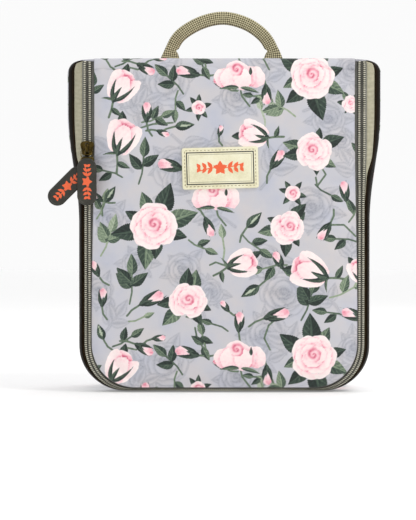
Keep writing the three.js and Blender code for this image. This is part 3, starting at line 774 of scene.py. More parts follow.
class Border:
    """The sloping border between the front panel and the bag's rim."""

    def __init__(self, step):
        self.edge, self.rim, under = border_stations(step)
        span = self.rim - self.edge
        self.reach = np.hypot(span[:, 0], span[:, 1])
        self.outward = span / self.reach[:, None]
        outer = np.maximum(self.reach, TAPE_END + 1) - TAPE_END
        side_out = [np.full(len(outer), v) for v in SIDE_OUT[:5]]
        side_out += [TAPE_END + outer * v for v in SIDE_OUT[5:]]
        side_out = np.array(side_out).T
        side_out[:, 7] = np.maximum(self.reach, TAPE_END + 1)
        base_out = np.array(BASE_OUT)[None] * (self.reach / 4)[:, None]
        turn = under[:, None]
        out = side_out * (1 - turn) + base_out * turn
        depth = np.array(SIDE_DEPTH)[None] * (1 - turn) + np.array(BASE_DEPTH)[None] * turn
        self.knots = np.stack([out, depth], 2)
        self.run = run_along(self.rim)

    def section(self, zones, lift=0.0):
        """Distance out and depth at each station for some zones, lifted inwards."""
        zones = np.asarray(zones, float)
        here = spline(self.knots, zones)
        ahead = spline(self.knots, np.minimum(zones + 0.02, ZONES))
        tangent = ahead - spline(self.knots, np.maximum(zones - 0.02, 0))
        tangent /= np.maximum(np.linalg.norm(tangent, axis=2, keepdims=True), 1e-9)
        inward = np.stack([-tangent[..., 1], tangent[..., 0]], 2)
        if np.ndim(lift):
            lift = np.asarray(lift, float).reshape(1, -1, 1)
        return here + inward * lift

    def to_space(self, section):
        out = section[..., 0:1]
        flat = self.edge[:, None, :] + self.outward[:, None, :] * out
        return np.stack([flat[..., 0], section[..., 1], flat[..., 1]], 2)

    def points(self, zones, lift=0.0):
        return self.to_space(self.section(zones, lift))

    def layer(self, low, high, cells, lift, thick, puff=0.0):
        """Front and back grids of one strip. Puff rounds its face up along the middle."""
        across = np.linspace(-1, 1, cells + 1)
        low = np.broadcast_to(low, len(self.edge))[:, None]
        high = np.broadcast_to(high, len(self.edge))[:, None]
        zones = low + (high - low) * (across + 1) / 2
        rise = puff * (1 - across ** 4)
        front, plain = self.points(zones, lift - rise), self.points(zones, lift)
        standing = smoothstep(self.rim[:, 1], 2, 24)[:, None, None]
        return plain + (front - plain) * standing, self.points(zones, lift + thick)


def strip_place(border, columns, width):
    """A strip's own measure: along its run and across it, in millimetres."""
    along = np.repeat(border.run[:, None], columns, 1)
    across = np.repeat(np.linspace(0, width, columns)[None], len(border.run), 0)
    return np.stack([across, along, along * 0], 2)


# ---------------------------------------------------------------- fabrics
def floral_material():
    n = Nodes("floral_fabric", 0.82, Sheen_Weight=0.25, Sheen_Roughness=0.5)
    leaf = n.attribute("print_leaf")
    bloom = n.attribute("print_bloom")
    tone = n.attribute("print_tone")
    where = n.attribute_vector("cloth_place")
    wobble = n.math("MULTIPLY_ADD", n.noise(where, 0.55, 3.0), 1.5, -0.75)
    blotch = n.noise(where, 0.045, 3.0)
    ground = n.ramp(blotch, [(0.3, 189, 191, 203), (0.5, 198, 197, 203), (0.7, 205, 200, 201)])
    hatch = n.noise(where, 0.9, 4.0)
    ghost = n.math("MULTIPLY", bloom[2], n.math("MULTIPLY_ADD", hatch, 1.1, 0.1))
    ground = n.mix(n.math("MULTIPLY", ghost, 0.95, clamp=True), ground, rgba(132, 136, 148))
    u, v, edge = leaf[0], leaf[1], leaf[2]
    side = n.math("ABSOLUTE", v)
    vein_wave = n.math("SINE", n.math("MULTIPLY_ADD", u, 34.0, n.math("MULTIPLY", side, -9.0)))
    vein = n.math("MULTIPLY", n.step(vein_wave, 0.35, 0.95), 0.45)
    midrib = n.math("SUBTRACT", 1.0, n.step(side, 0.06, 0.2))
    half_light = n.math("MULTIPLY", n.step(v, -0.1, 0.4), 0.22)
    leaf_noise = n.math("MULTIPLY_ADD", n.noise(where, 0.5, 3.0), 0.34, -0.17)
    leaf_shade = n.math("ADD", n.math("ADD", tone[0], half_light), leaf_noise)
    leaf_shade = n.math("MULTIPLY_ADD", n.math("MAXIMUM", vein, midrib), 0.3, leaf_shade)
    leaf_colour = n.ramp(leaf_shade, [
        (0.06, 24, 35, 31), (0.26, 37, 52, 45), (0.46, 66, 84, 71),
        (0.66, 116, 134, 110), (0.85, 158, 172, 146), (1.0, 184, 194, 174),
    ])
    leaf_mask = n.step(n.math("ADD", edge, n.math("MULTIPLY", wobble, 0.22)), -0.2, 0.16)
    coloured = n.mix(leaf_mask, ground, leaf_colour)
    petal_noise = n.math("MULTIPLY_ADD", n.noise(where, 0.42, 4.0), 0.5, -0.25)
    petal_tone = n.math("ADD", bloom[0], petal_noise)
    petal_colour = n.ramp(petal_tone, [
        (0.0, 254, 240, 237), (0.24, 253, 228, 228), (0.45, 251, 206, 213),
        (0.62, 243, 174, 188), (0.8, 230, 134, 154), (1.0, 198, 92, 120),
    ])
    bloom_mask = n.step(n.math("ADD", bloom[1], n.math("MULTIPLY", wobble, 0.6)), -0.15, 0.25)
    coloured = n.mix(bloom_mask, coloured, petal_colour)
    weave = n.weave(where, 9.0)
    shaded = n.mix(n.math("MULTIPLY", weave, 0.09), coloured, rgba(120, 120, 128), "MULTIPLY")
    n.colour(shaded)
    soft = n.math("MULTIPLY", n.noise(where, 0.12, 3.0), 3.0)
    n.bump(n.math("ADD", n.math("MULTIPLY", weave, 0.35), soft), 0.00012, 0.55)
    return n.material


def ribbed_material(name, colours, pitch, roughness=0.7, cross=0.25, depth=0.00015, **shader):
    """A woven strip: ribs across it, from its strip_place values."""
    n = Nodes(name, roughness, **shader)
    where = n.attribute_vector("cloth_place")
    axes = n.axes(where)
    rib = n.wave(axes[1], pitch)
    yarn = n.wave(axes[0], pitch * 0.8)
    mottle = n.noise(where, 0.35, 4.0)
    level = n.math("ADD", n.math("MULTIPLY", rib, 0.5), n.math("MULTIPLY", yarn, cross))
    level = n.math("ADD", level, n.math("MULTIPLY_ADD", mottle, 0.6, -0.2))
    n.colour(n.ramp(level, [(0.1, *colours[0]), (0.5, *colours[1]), (0.95, *colours[2])]))
    n.bump(n.math("ADD", rib, n.math("MULTIPLY", yarn, cross)), depth, 0.7)
    return n.material


def leatherette_material():
    n = Nodes("leatherette", 0.34, Specular_IOR_Level=0.02)
    where = n.object_place()
    grain = n.node("ShaderNodeTexVoronoi", feature="DISTANCE_TO_EDGE")
    n.link(where, grain.inputs["Vector"])
    grain.inputs["Scale"].default_value = 900
    highlight_place = n.attribute("cloth_place")
    wear = n.noise(where, 130, 4.0)
    # The thin lighter line along the band is a painted highlight, added on top of the random wear tone.
    line = n.math("SUBTRACT", 1.0, n.step(n.math("ABSOLUTE", n.math("SUBTRACT", highlight_place[0], 0.62)), 0.1, 0.32))
    level = n.math("ADD", n.math("MULTIPLY", line, 0.35), n.math("MULTIPLY", wear, 0.45))
    n.colour(n.ramp(level, [(0.1, 14, 10, 5), (0.4, 26, 19, 11), (0.75, 60, 45, 27), (1.0, 104, 84, 56)]))
    n.link(n.math("MULTIPLY_ADD", wear, 0.3, 0.28), n.shader.inputs["Roughness"])
    n.bump(grain.outputs["Distance"], 0.0001, 0.35)
    return n.material


def plain_material(name, low, middle, high, scale=600, roughness=0.7, depth=0.0001, metallic=0.0, **shader):
    """A mottled material with a fine grain."""
    n = Nodes(name, roughness, metallic, **shader)
    where = n.object_place()
    fine = n.noise(where, scale, 4.0)
    broad = n.noise(where, scale / 12, 3.0)
    level = n.math("ADD", n.math("MULTIPLY", fine, 0.5), n.math("MULTIPLY", broad, 0.5))
    n.colour(n.ramp(level, [(0.32, *low), (0.5, *middle), (0.68, *high)]))
    n.bump(fine, depth, 0.5)
    return n.material


FLORAL = floral_material()
STRIP = ribbed_material("khaki_strip", [(128, 126, 106), (172, 167, 142), (200, 194, 170)], 0.9)
TAPE = ribbed_material("zip_tape", [(66, 66, 62), (96, 96, 90), (124, 123, 115)], 0.8, 0.8)
LIGHT_TAPE = ribbed_material("zip_tape_light", [(90, 90, 84), (124, 124, 116), (152, 151, 140)], 0.8, 0.8)
COIL = plain_material("zip_coil", (180, 177, 158), (206, 203, 184), (228, 225, 208), 1200, 0.36)
# The zip's bed under the teeth is coloured dark as painted shade where the two rows of teeth interlock.
COIL_BED_SHADE = plain_material("zip_bed_painted_shade", (54, 53, 49), (74, 73, 67), (96, 94, 86), 1500, 0.8)
BAND = leatherette_material()
# Brass mottle: partly the metal's own antique tone, partly painted highlights and painted shade in its
# brightest and darkest patches.
BRASS = plain_material("antique_brass", (36, 30, 14), (86, 71, 34), (178, 148, 78), 300, 0.26, 0.00006, 1.0)
FOAM = plain_material("foam", (188, 186, 178), (208, 206, 198), (222, 220, 212), 1800, 0.95)
BOARD = plain_material("board", (78, 74, 68), (96, 92, 85), (112, 108, 100), 900, 0.8)
PLASTIC = plain_material("hook_plastic", (44, 41, 36), (54, 51, 45), (66, 62, 55), 700, 0.4)


# ---------------------------------------------------------------- front panel
def panel_half_width(z, inset=0.0):
    """Half the panel's width at a height, with its two round lower corners."""
    radius = PANEL_CORNER - inset
    centre = PANEL_LOW_Z + PANEL_CORNER
    down = np.clip(centre - np.asarray(z, float), 0, radius)
    return PANEL_HALF_WIDTH - PANEL_CORNER + np.sqrt(np.maximum(radius ** 2 - down ** 2, 0))


def panel_rows(step, inset=0.0):
    """Row heights: close together round the lower corners, then evenly spaced."""
    radius = PANEL_CORNER - inset
    centre = PANEL_LOW_Z + PANEL_CORNER
    turn = np.linspace(0, math.pi / 2, max(int(radius * 1.57 / step), 6))
    corner = centre - radius * np.cos(turn)
    rest = np.linspace(centre, PANEL_HIGH_Z - inset, max(int((PANEL_HIGH_Z - inset - centre) / step), 4))
    return np.concatenate([corner, rest[1:]])


def panel_grid(step, inset=0.0):
    z = panel_rows(step, inset)
    columns = int(2 * (PANEL_HALF_WIDTH - inset) / step)
    share = np.linspace(-1, 1, columns)
    half = panel_half_width(z, inset)
    return half[:, None] * share[None], np.repeat(z[:, None], columns, 1)


def edge_distance(x, z):
    """How far a point on the panel is from its seam."""
    centre_x = PANEL_HALF_WIDTH - PANEL_CORNER
    centre_z = PANEL_LOW_Z + PANEL_CORNER
    plain = np.minimum(PANEL_HALF_WIDTH - np.abs(x), np.minimum(z - PANEL_LOW_Z, PANEL_HIGH_Z - z))
    round_part = PANEL_CORNER - np.hypot(np.abs(x) - centre_x, z - centre_z)
    return np.clip(np.where((np.abs(x) > centre_x) & (z < centre_z), round_part, plain), 0, None)


SIM_STEP = 4.5
SIM_FRAMES = 20
SIM_LIMIT = 2.4


def simulated_crown():
    """Puffs the padded panel with cloth pressure. Returns how far each of its cells moved out."""
    x, z = panel_grid(SIM_STEP)
    rows, columns = x.shape
    front = np.stack([x, np.full_like(x, -39.2), z], 2)
    back = np.stack([x, np.full_like(x, -37.2), z], 2)
    points, faces = closed_grid(front, back)
    pad = new_object("sim_pad", points, faces, FOAM)
    index = np.arange(rows * columns).reshape(rows, columns)
    held = np.concatenate([
        index[0], index[-1], index[:, 0], index[:, -1], np.arange(rows * columns, 2 * rows * columns),
    ])
    group = pad.vertex_groups.new(name="held")
    group.add([int(i) for i in np.unique(held)], 1.0, "REPLACE")
    cloth = pad.modifiers.new("cloth", "CLOTH")
    settings = cloth.settings
    settings.vertex_group_mass = "held"
    settings.use_pressure = True
    settings.uniform_pressure_force = 3.0
    settings.shrink_min = -0.012
    settings.tension_stiffness = 20
    settings.compression_stiffness = 20
    settings.bending_stiffness = 0.6
    settings.quality = 5
    settings.effector_weights.gravity = 0
    cloth.collision_settings.use_collision = False
    cloth.point_cache.frame_end = SIM_FRAMES
    scene = bpy.context.scene
    for frame_number in range(1, SIM_FRAMES + 1):
        scene.frame_set(frame_number)
    graph = bpy.context.evaluated_depsgraph_get()
    mesh = pad.evaluated_get(graph).to_mesh()
    moved = np.zeros(len(mesh.vertices) * 3)
    mesh.vertices.foreach_get("co", moved)
    scene.frame_set(1)
    bpy.data.objects.remove(pad)
    depth = moved.reshape(-1, 3)[:rows * columns, 1].reshape(rows, columns) / MM
    return np.clip(-39.2 - depth, -0.5, SIM_LIMIT)


def resample(values, rows, columns):
    """A smooth resampling of a coarse grid of values."""
    def along(array, count):
        place = np.linspace(0, array.shape[0] - 1, count)
        index = np.clip(place.astype(int), 0, array.shape[0] - 2)
        t = (place - index)[:, None]
        p0, p1 = array[np.maximum(index - 1, 0)], array[index]
        p2, p3 = array[index + 1], array[np.minimum(index + 2, array.shape[0] - 1)]
        a = 2 * p1 - 2 * p2 + (p2 - p0) / 2 + (p3 - p1) / 2
        b = -3 * p1 + 3 * p2 - (p2 - p0) - (p3 - p1) / 2
        return a * t ** 3 + b * t ** 2 + (p2 - p0) / 2 * t + p1
    return along(along(values, rows).T, columns).T


def even_rows(grid_z, fine_z):
    """Where each fine row falls among the coarse rows."""
    return np.interp(fine_z, grid_z, np.arange(len(grid_z)))


def panel_crown(x, z):
    """How far the padded panel stands out in front of its seam."""
    near = edge_distance(x, z)
    rise = 1.7 * (1 - np.exp(-near / 6.5)) + 0.5 * smoothstep(near, 10, 60)
    crown = simulated_crown()
    coarse_z = panel_rows(SIM_STEP)
    place = even_rows(coarse_z, z[:, 0])
    fine = resample(crown, crown.shape[0], x.shape[1])
    low = np.clip(place.astype(int), 0, crown.shape[0] - 2)
    share = (place - low)[:, None]
    blown = fine[low] * (1 - share) + fine[low + 1] * share
    rise = rise * 0.45 + np.clip(blown, 0, SIM_LIMIT) * 0.8
    wrinkle = ripple(x, z, 0.4) * 0.42 + ripple(x * 2.1, z * 1.7, 2.2) * 0.18
    wrinkle = wrinkle * smoothstep(near, 1, 16)
    pucker = np.sin(z * 0.62 + np.sin(z * 0.13) * 3) * np.exp(-near / 5) * smoothstep(near, 0, 1.5) * 0.12
    return rise + wrinkle + pucker * (np.abs(x) > 84)


def panel_depth(x, z):
    """Depth of the panel's face at one place."""
    row = int(np.argmin(np.abs(PANEL_Z[:, 0] - z)))
    column = int(np.argmin(np.abs(PANEL_X[row] - x)))
    return float(PANEL_Y[row, column])


def make_front_panel():
    """The padded cover. Low down it overhangs the zip's inner tape."""
    spread_x = PANEL_X * (1.003 + 0.022 * (1 - smoothstep(PANEL_Z, 50, 190)))
    spread_z = PANEL_Z - 0.5 * (1 - smoothstep(PANEL_Z, 4, 40))
    front = np.stack([spread_x, PANEL_Y, spread_z], 2)
    back = np.stack([PANEL_X * 0.995, np.full_like(PANEL_X, -38.0), PANEL_Z], 2)
    panel = make_shell(
        "front_panel_cover", front, back, FLORAL, paint_print(PANEL_X, PANEL_Z),
        "flap", "floral_fabric", "front_panel",
    )


PANEL_STEP = 0.72
PANEL_X, PANEL_Z = panel_grid(PANEL_STEP)
PANEL_Y = PANEL_EDGE_Y - panel_crown(PANEL_X, PANEL_Z)
make_front_panel()


# ---------------------------------------------------------------- border strips and zip
BORDER = Border(1.5)


def make_strip(name, low, high, cells, lift, thick, puff, material, body, slot, node, width):
    front, back = BORDER.layer(low, high, cells, lift, thick, puff)
    strip = make_shell(
        name, front, back, material, {"cloth_place": strip_place(BORDER, cells + 1, width)},
        body, slot, node,
    )
    return strip


def bead_shape():
    """A small rounded tooth: points round three rings and two ends, long across the zip."""
    points = [(-1.0, 0.0, 0.0)]
    for u in (-0.72, 0.0, 0.72):
        radius = math.sqrt(1 - u * u * 0.82)
        for k in range(6):
            way = 2 * math.pi * k / 6
            points.append((u, radius * math.cos(way), radius * math.sin(way)))
    points.append((1.0, 0.0, 0.0))
    faces = [(0, 1 + (k + 1) % 6, 1 + k) for k in range(6)]
    for ring in range(2):
        for k in range(6):
            a = 1 + ring * 6 + k
            b = 1 + ring * 6 + (k + 1) % 6
            faces.append((a, b, b + 6, a + 6))
    last = len(points) - 1
    faces += [(last, 13 + k, 13 + (k + 1) % 6) for k in range(6)]
    return np.array(points), faces


def bead_row(places, across, along, outward, size):
    """One tooth at each place. Size is its half-length across, along the zip and outwards."""
    shape, shape_faces = bead_shape()
    count = len(shape)
    points = (
        places[:, None, :]
        + across[:, None, :] * shape[None, :, 0:1] * size[0]
        + along[:, None, :] * shape[None, :, 1:2] * size[1]
        + outward[:, None, :] * shape[None, :, 2:3] * size[2]
    )
    faces = []
    for i in range(len(places)):
        faces += [tuple(index + i * count for index in face) for face in shape_faces]
    return points.reshape(-1, 3), faces


def unit(vectors):
    return vectors / np.maximum(np.linalg.norm(vectors, axis=-1, keepdims=True), 1e-9)


def evenly(points, pitch):
    """Places a pitch apart along a line of points, and which stretch each is on."""
    run = np.concatenate([[0], np.cumsum(np.linalg.norm(np.diff(points, axis=0), axis=1))])
    target = np.arange(pitch / 2, run[-1], pitch)
    return np.stack([np.interp(target, run, points[:, i]) for i in range(3)], 1), target, run


TOOTH_PITCH = 1.45


def make_zip_half(name, zone, toe, body, node, bed_low, bed_high):
    """A row of teeth on its bed, with its zone at each station. Toe is the zone the teeth reach towards."""
    line = BORDER.points(zone[:, None], -0.55)[:, 0]
    lower = BORDER.points(zone[:, None], 0.5)[:, 0]
    side = BORDER.points([toe], -0.55)[:, 0]
    places, target, run = evenly(line, TOOTH_PITCH)
    across = np.stack([np.interp(target, run, (side - line)[:, i]) for i in range(3)], 1)
    outward = np.stack([np.interp(target, run, (line - lower)[:, i]) for i in range(3)], 1)
    along = unit(np.stack([np.interp(target, run, np.gradient(line, axis=0)[:, i]) for i in range(3)], 1))
    teeth = bead_row(places, unit(across), along, unit(outward), (0.86, 0.42, 0.74))
    # The bed under the teeth takes the dark colour: painted shade between the interlocking teeth.
    bed = closed_grid(*BORDER.layer(bed_low, bed_high, 2, -0.1, 1.4))
    row = new_object(name, *joined([bed, teeth]), COIL_BED_SHADE)
    row.data.materials.append(COIL)
    for polygon in row.data.polygons[len(bed[1]):]:
        polygon.material_index = 1
    place(row, body, "zip_coil", node)


def make_border():
    """The zip, the khaki strip and the shiny band. All but the band are narrow low down."""
    wide = smoothstep(BORDER.reach, 12.4, 18)
    narrow = 1 - wide
    inner_teeth = 1.42 + 0.1 * narrow
    outer_teeth = 2.62 - 0.21 * narrow
    bed_end = 3.0 - 0.33 * narrow
    tape_end = 3.98 - 1.22 * narrow
    seam = 5.02 - 2.22 * narrow
    make_strip("zip_tape_inner", 0.1, 1.06, 3, 0.35, 0.9, 0, TAPE, "flap", "zip_tape", "zip_tape_flap", 2.4)
    make_zip_half("zip_teeth_inner", inner_teeth, 1.9, "flap", "zip_coil_flap", 1.08, 1.985)
    make_zip_half("zip_teeth_outer", outer_teeth, 2.1, "body", "zip_coil_body", 2.015, bed_end)
    make_strip(
        "zip_tape_outer", bed_end + 0.04, tape_end, 3, 0.2, 0.9, 0,
        LIGHT_TAPE, "body", "zip_tape", "zip_tape_body", 1.7,
    )
    make_strip(
        "khaki_strip", tape_end + 0.01, seam - 0.01, 5, 0.1, 1.0, 0.25,
        STRIP, "body", "khaki_strip", "gusset_strip", 5,
    )
    make_strip(
        "shiny_band", seam + 0.01, 6.04, 8, 0.0, 1.1, 0.45,
        BAND, "body", "leatherette", "trim_band", 5,
    )


make_border()


# ---------------------------------------------------------------- gusset, back and top
GUSSET_BACK_Y = 37.2


def make_gusset():
    zones = np.linspace(6.06, 7, 6)
    face = BORDER.points(zones, 0.0)
    inner = BORDER.points(zones, 1.6)
    edge_out = BORDER.section([7.0])[:, 0, 0]
    depths = np.concatenate([np.arange(-10.6, GUSSET_BACK_Y - 0.6, 1.15), [GUSSET_BACK_Y]])
    run = BORDER.run[:, None]
    dent = ripple(depths[None] * 1.2, run, 1.1) * 0.35 + ripple(depths[None] * 2.3, run * 2.1, 4.0) * 0.2
    dent = dent * smoothstep(depths[None], -10, 0) * (1 - smoothstep(depths[None], 30, 37))
    puff = 0.9 * np.sin(math.pi * np.clip((depths + 12) / 50, 0, 1))[None] * np.ones_like(run)
    standing = smoothstep(BORDER.rim[:, 1:2], 4, 30)
    out = edge_out[:, None] + (dent + puff) * standing - 0.25
    wall = BORDER.to_space(np.stack([out, np.repeat(depths[None], len(run), 0)], 2))
    wall_inner = BORDER.to_space(np.stack([out - 1.5, np.repeat(depths[None], len(run), 0)], 2))
    front = np.concatenate([face, wall], 1)
    back = np.concatenate([inner, wall_inner], 1)
    gusset = new_object("gusset_cover", *closed_grid(front, back), FLORAL)
    depth_place = np.repeat(np.concatenate([zones * 4.0 - 40, depths])[None], len(run), 0)
    along = np.repeat(-run, depth_place.shape[1], 1)
    add_values(gusset, paint_print(depth_place + 58, along + 37))
    place(gusset, "body", "floral_fabric", "side_gusset")


def body_rows(step, inset=0.0):
    corner = np.linspace(0, math.pi / 2, int(50 / step))
    low = BASE_CORNER - (BASE_CORNER - inset) * np.cos(corner)
    middle = np.linspace(BASE_CORNER, TOP_CORNER_Z, int((TOP_CORNER_Z - BASE_CORNER) / step))
    turn = np.linspace(0, math.pi / 2, 10)
    top = TOP_CORNER_Z + (TOP_CORNER - inset) * np.sin(turn)
    return np.concatenate([low, middle[1:], top[1:]])


def outline_half_width(z, inset=0.0):
    z = np.asarray(z, float)
    side = body_half_width(z) - inset
    down = np.clip(BASE_CORNER - z, 0, BASE_CORNER - inset)
    low = LOW_HALF_WIDTH - BASE_CORNER + np.sqrt(np.maximum((BASE_CORNER - inset) ** 2 - down ** 2, 0))
    up = np.clip(z - TOP_CORNER_Z, 0, TOP_CORNER - inset)
    high = TOP_HALF_WIDTH - TOP_CORNER + np.sqrt(np.maximum((TOP_CORNER - inset) ** 2 - up ** 2, 0))
    return np.where(z < BASE_CORNER, low, np.where(z > TOP_CORNER_Z, high, side))


def body_sheet(step, inset):
    z = body_rows(step, inset)
    share = np.linspace(-1, 1, int(2 * TOP_HALF_WIDTH / step))
    x = outline_half_width(z, inset)[:, None] * share[None]
    return x, np.repeat(z[:, None], len(share), 1), np.repeat(np.abs(share)[None], len(z), 0)


def make_back():
    x, z, share = body_sheet(1.1, 0.2)
    near = np.minimum((1 - share) * 105, np.minimum(z, BODY_HEIGHT - z))
    puff = 0.9 * (1 - np.exp(-near / 9)) + ripple(x, z, 3.3) * 0.5 * smoothstep(near, 0, 20)
    front = np.stack([x, 38.9 + puff, z], 2)
    back = np.stack([x * 0.99, np.full_like(x, 37.95), z], 2)
    cover = make_shell(
        "back_cover", front, back, FLORAL, paint_print(x + 71, z + 20),
        "body", "floral_fabric", "back_panel",
    )


def top_half_width(y):
    """Half the top's width at a depth: it meets the border in front, and the gusset behind."""
    knots = Border(60).knots[0]
    depth = knots[:, 1]
    out = knots[:, 0] * (TOP_HALF_WIDTH - TOP_CORNER - PANEL_HALF_WIDTH) / knots[-1, 0]
    return PANEL_HALF_WIDTH + np.interp(y, depth, out)


def make_top():
    y = np.linspace(-37.4, 37.6, 70)
    share = np.linspace(-1, 1, 190)
    x = (top_half_width(y) - 0.3)[:, None] * share[None]
    deep = np.repeat(y[:, None], len(share), 1)
    near = np.minimum((1 - np.abs(share))[None] * 100, (37.6 - deep))
    rise = 232.1 + 0.7 * (1 - np.exp(-near / 5)) + ripple(x, deep, 5.0) * 0.35 * smoothstep(near, 0, 14)
    front = np.stack([x, deep, rise], 2)
    back = np.stack([x, deep, np.full_like(x, 230.6)], 2)
    top = make_shell(
        "top_cover", front, back, FLORAL, paint_print(x, deep + 40 + PANEL_HIGH_Z),
        "body", "floral_fabric", "top_panel",
    )


HINGE_PATH = [
    (-39.9, 225.5), (-40.35, 227.5), (-40.3, 229.4), (-39.7, 231.2), (-38.4, 232.5),
    (-36.4, 233.1), (-34.0, 233.3), (-31.5, 233.25), (-29.0, 233.0),
]


def make_hinge():
    """The fabric over the top front edge, built in its shape with the flap closed."""
    knots = np.array(HINGE_PATH)[None]
    path = spline(knots, np.linspace(0, len(HINGE_PATH) - 1, 34))[0]
    x = np.linspace(-PANEL_HALF_WIDTH - 0.3, PANEL_HALF_WIDTH + 0.3, 250)
    run = run_along(path)
    gx = np.repeat(x[None], len(path), 0)
    gy = np.repeat(path[:, 0:1], len(x), 1)
    gz = np.repeat(path[:, 1:2], len(x), 1)
    wave = ripple(gx * 1.5, gz * 0 + 3, 6.1) * 0.25
    front = np.stack([gx, gy - wave * 0.5, gz + wave * 0.5], 2)
    normal = unit(np.stack([np.gradient(path[:, 1]), -np.gradient(path[:, 0])], 1))
    back = front.copy()
    back[..., 1] += normal[:, 0:1] * 0.6
    back[..., 2] += normal[:, 1:2] * 0.6
    hinge = new_object("hinge_cloth", *closed_grid(front, back), FLORAL)
    along = np.repeat(run[:, None] + HINGE_PATH[0][1], len(x), 1)
    add_values(hinge, paint_print(gx, along))
    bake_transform(hinge)


make_gusset()
make_back()
make_top()
make_hinge()


# ---------------------------------------------------------------- handle
HANDLE_Y = 2
HANDLE_PATH = [
    (-38.5, 233.2), (-37, 243), (-30.5, 253), (-16, 261.5), (0, 264.6),
    (16, 260.5), (28, 252), (34, 242), (35, 233.2),
]
WEBBING_HALF = 8
WEAVE_PITCH = 2.9


def webbing_material():
    n = Nodes("webbing", 0.85, Sheen_Weight=0.2)
    where = n.attribute("cloth_place")
    turns = 2 * math.pi / WEAVE_PITCH
    rising = n.math("SINE", n.math("MULTIPLY", n.math("ADD", where[1], where[0]), turns))
    falling = n.math("SINE", n.math("MULTIPLY", n.math("SUBTRACT", where[1], where[0]), turns))
    height = n.math("MULTIPLY_ADD", n.math("MULTIPLY", rising, falling), 0.75, 0.75)
    mottle = n.noise(n.attribute_vector("cloth_place"), 0.5, 4.0)
    level = n.math("MULTIPLY_ADD", mottle, 0.3, n.math("MULTIPLY", height, 0.55))
    n.colour(n.ramp(level, [(0.22, 50, 45, 28), (0.5, 136, 127, 94), (0.84, 214, 206, 168)]))
    n.bump(height, 0.0004, 0.9)
    return n.material


WEBBING = webbing_material()


def webbing_section(flat, thin, sides=28):
    """Webbing across its width: flat and thin, or folded round into a grip with a slit inside."""
    way = np.linspace(0, 2 * math.pi, sides, endpoint=False)
    c, s = np.cos(way), np.sin(way)
    wide = np.sign(c) * np.abs(c) ** 0.5
    deep = np.sign(s) * np.abs(s) ** 0.6
    flat_u, flat_v = wide * WEBBING_HALF, deep * 0.95
    notch = np.exp(-(way / 0.22) ** 2) + np.exp(-((way - 2 * math.pi) / 0.22) ** 2)
    grip_u = wide * 4.7 - notch * 2.6
    grip_v = deep * 3.5
    return lerp(grip_u, flat_u, flat), lerp(grip_v, flat_v, thin)


def make_handle():
    knots = np.array(HANDLE_PATH, float)[None]
    steps = 150
    place_along = np.linspace(0, len(HANDLE_PATH) - 1, steps)
    path = spline(knots, place_along)[0]
    tangent = unit(np.gradient(path, axis=0))
    run = run_along(path)
    share = run / run[-1]
    flat = 1 - smoothstep(np.minimum(share, 1 - share), -0.02, 0.1)
    thin = 1 - smoothstep(np.minimum(share, 1 - share), 0.08, 0.25)
    kink = np.exp(-((np.minimum(share, 1 - share) - 0.088) / 0.014) ** 2)
    rings, places = [], []
    for i in range(steps):
        u, v = webbing_section(flat[i], thin[i])
        u = u * (1 - 0.14 * kink[i]) - kink[i] * 0.7
        side = (tangent[i, 1], -tangent[i, 0])
        x = path[i, 0] + side[0] * u
        z = path[i, 1] + side[1] * u
        y = HANDLE_Y + v * (1 + 0.25 * kink[i])
        rings.append(np.stack([x, y, z], 1))
        around = np.concatenate([[0], np.cumsum(np.hypot(np.diff(u), np.diff(v)))])
        places.append(np.stack([u + 20, np.full_like(u, run[i]), around * 0], 1))
    points = np.concatenate(rings)
    handle = new_object("handle_strap", points, tube_faces(steps, len(rings[0])), WEBBING)
    add_values(handle, {"cloth_place": np.concatenate(places)})
    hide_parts("handle_webbing")
    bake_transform(handle)


def make_stitches(name, corners, pitch, length, radius, outward, material, body, slot):
    """Separate stitches lying along straight seams."""
    corners = np.asarray(corners, float)
    outward = np.asarray(outward, float)
    shells = []
    for start, end in zip(corners[:-1], corners[1:]):
        span = end - start
        long = np.linalg.norm(span)
        count = max(int(long / pitch), 1)
        share = (np.arange(count) + 0.5) / count
        places = start + span * share[:, None]
        along = np.repeat((span / long)[None], count, 0)
        up = np.repeat(outward[None], count, 0)
        side = np.cross(along, up)
        shells.append(bead_row(places, along, side, up, (length / 2, radius, radius)))
    return place(new_object(name, *joined(shells), material), body, slot)


def make_anchor(side, centre):
    """The end of the strap, sewn down flat on the top with a square of stitches."""
    low, high = cad(f"handle_anchor_{side}")
    across = np.linspace(-7.6, 7.6, 20)
    along = np.linspace(low[1] - 0.6, high[1], 24)
    gx, gy = np.meshgrid(across + centre, along)
    edge = np.minimum(7.6 - np.abs(gx - centre), np.minimum(gy - low[1] + 0.6, high[1] - gy))
    rise = 233.35 + 0.4 * (1 - np.exp(-edge / 1.2)) - 0.25 * np.exp(-((edge - 2) / 0.5) ** 2)
    front = np.stack([gx, gy, rise], 2)
    back = np.stack([gx, gy, np.full_like(gx, 232.5)], 2)
    weave = np.stack([gx - centre + 20, gy, gx * 0], 2)
    make_shell(
        f"handle_end_{side}", front, back, WEBBING, {"cloth_place": weave},
        "body", "webbing", f"handle_anchor_{side}",
    )
    near, far = low[1] + 1.6, high[1] - 2
    corners = [(-5.4, near), (5.4, near), (5.4, far), (-5.4, far), (-5.4, near)]
    line = [(centre + x, y, 233.6) for x, y in corners]
    make_stitches(f"anchor_stitches_{side}", line, 2.0, 1.3, 0.26, (0, 0, 1), THREAD_KHAKI, "body", "webbing")


THREAD_KHAKI = plain_material("thread_khaki", (120, 114, 90), (150, 144, 116), (176, 170, 140), 2500, 0.7)
THREAD_CREAM = plain_material("thread_cream", (140, 128, 92), (164, 152, 114), (186, 174, 134), 2500, 0.65)

make_handle()
make_anchor("left", -38.5)
make_anchor("right", 35)


# ---------------------------------------------------------------- label and tags
LABEL_X = -3
LABEL_Z = 156.5
LABEL_HALF_WIDTH = 26.5
LABEL_HALF_HEIGHT = 14.4
LABEL_TILT = math.radians(1.5)


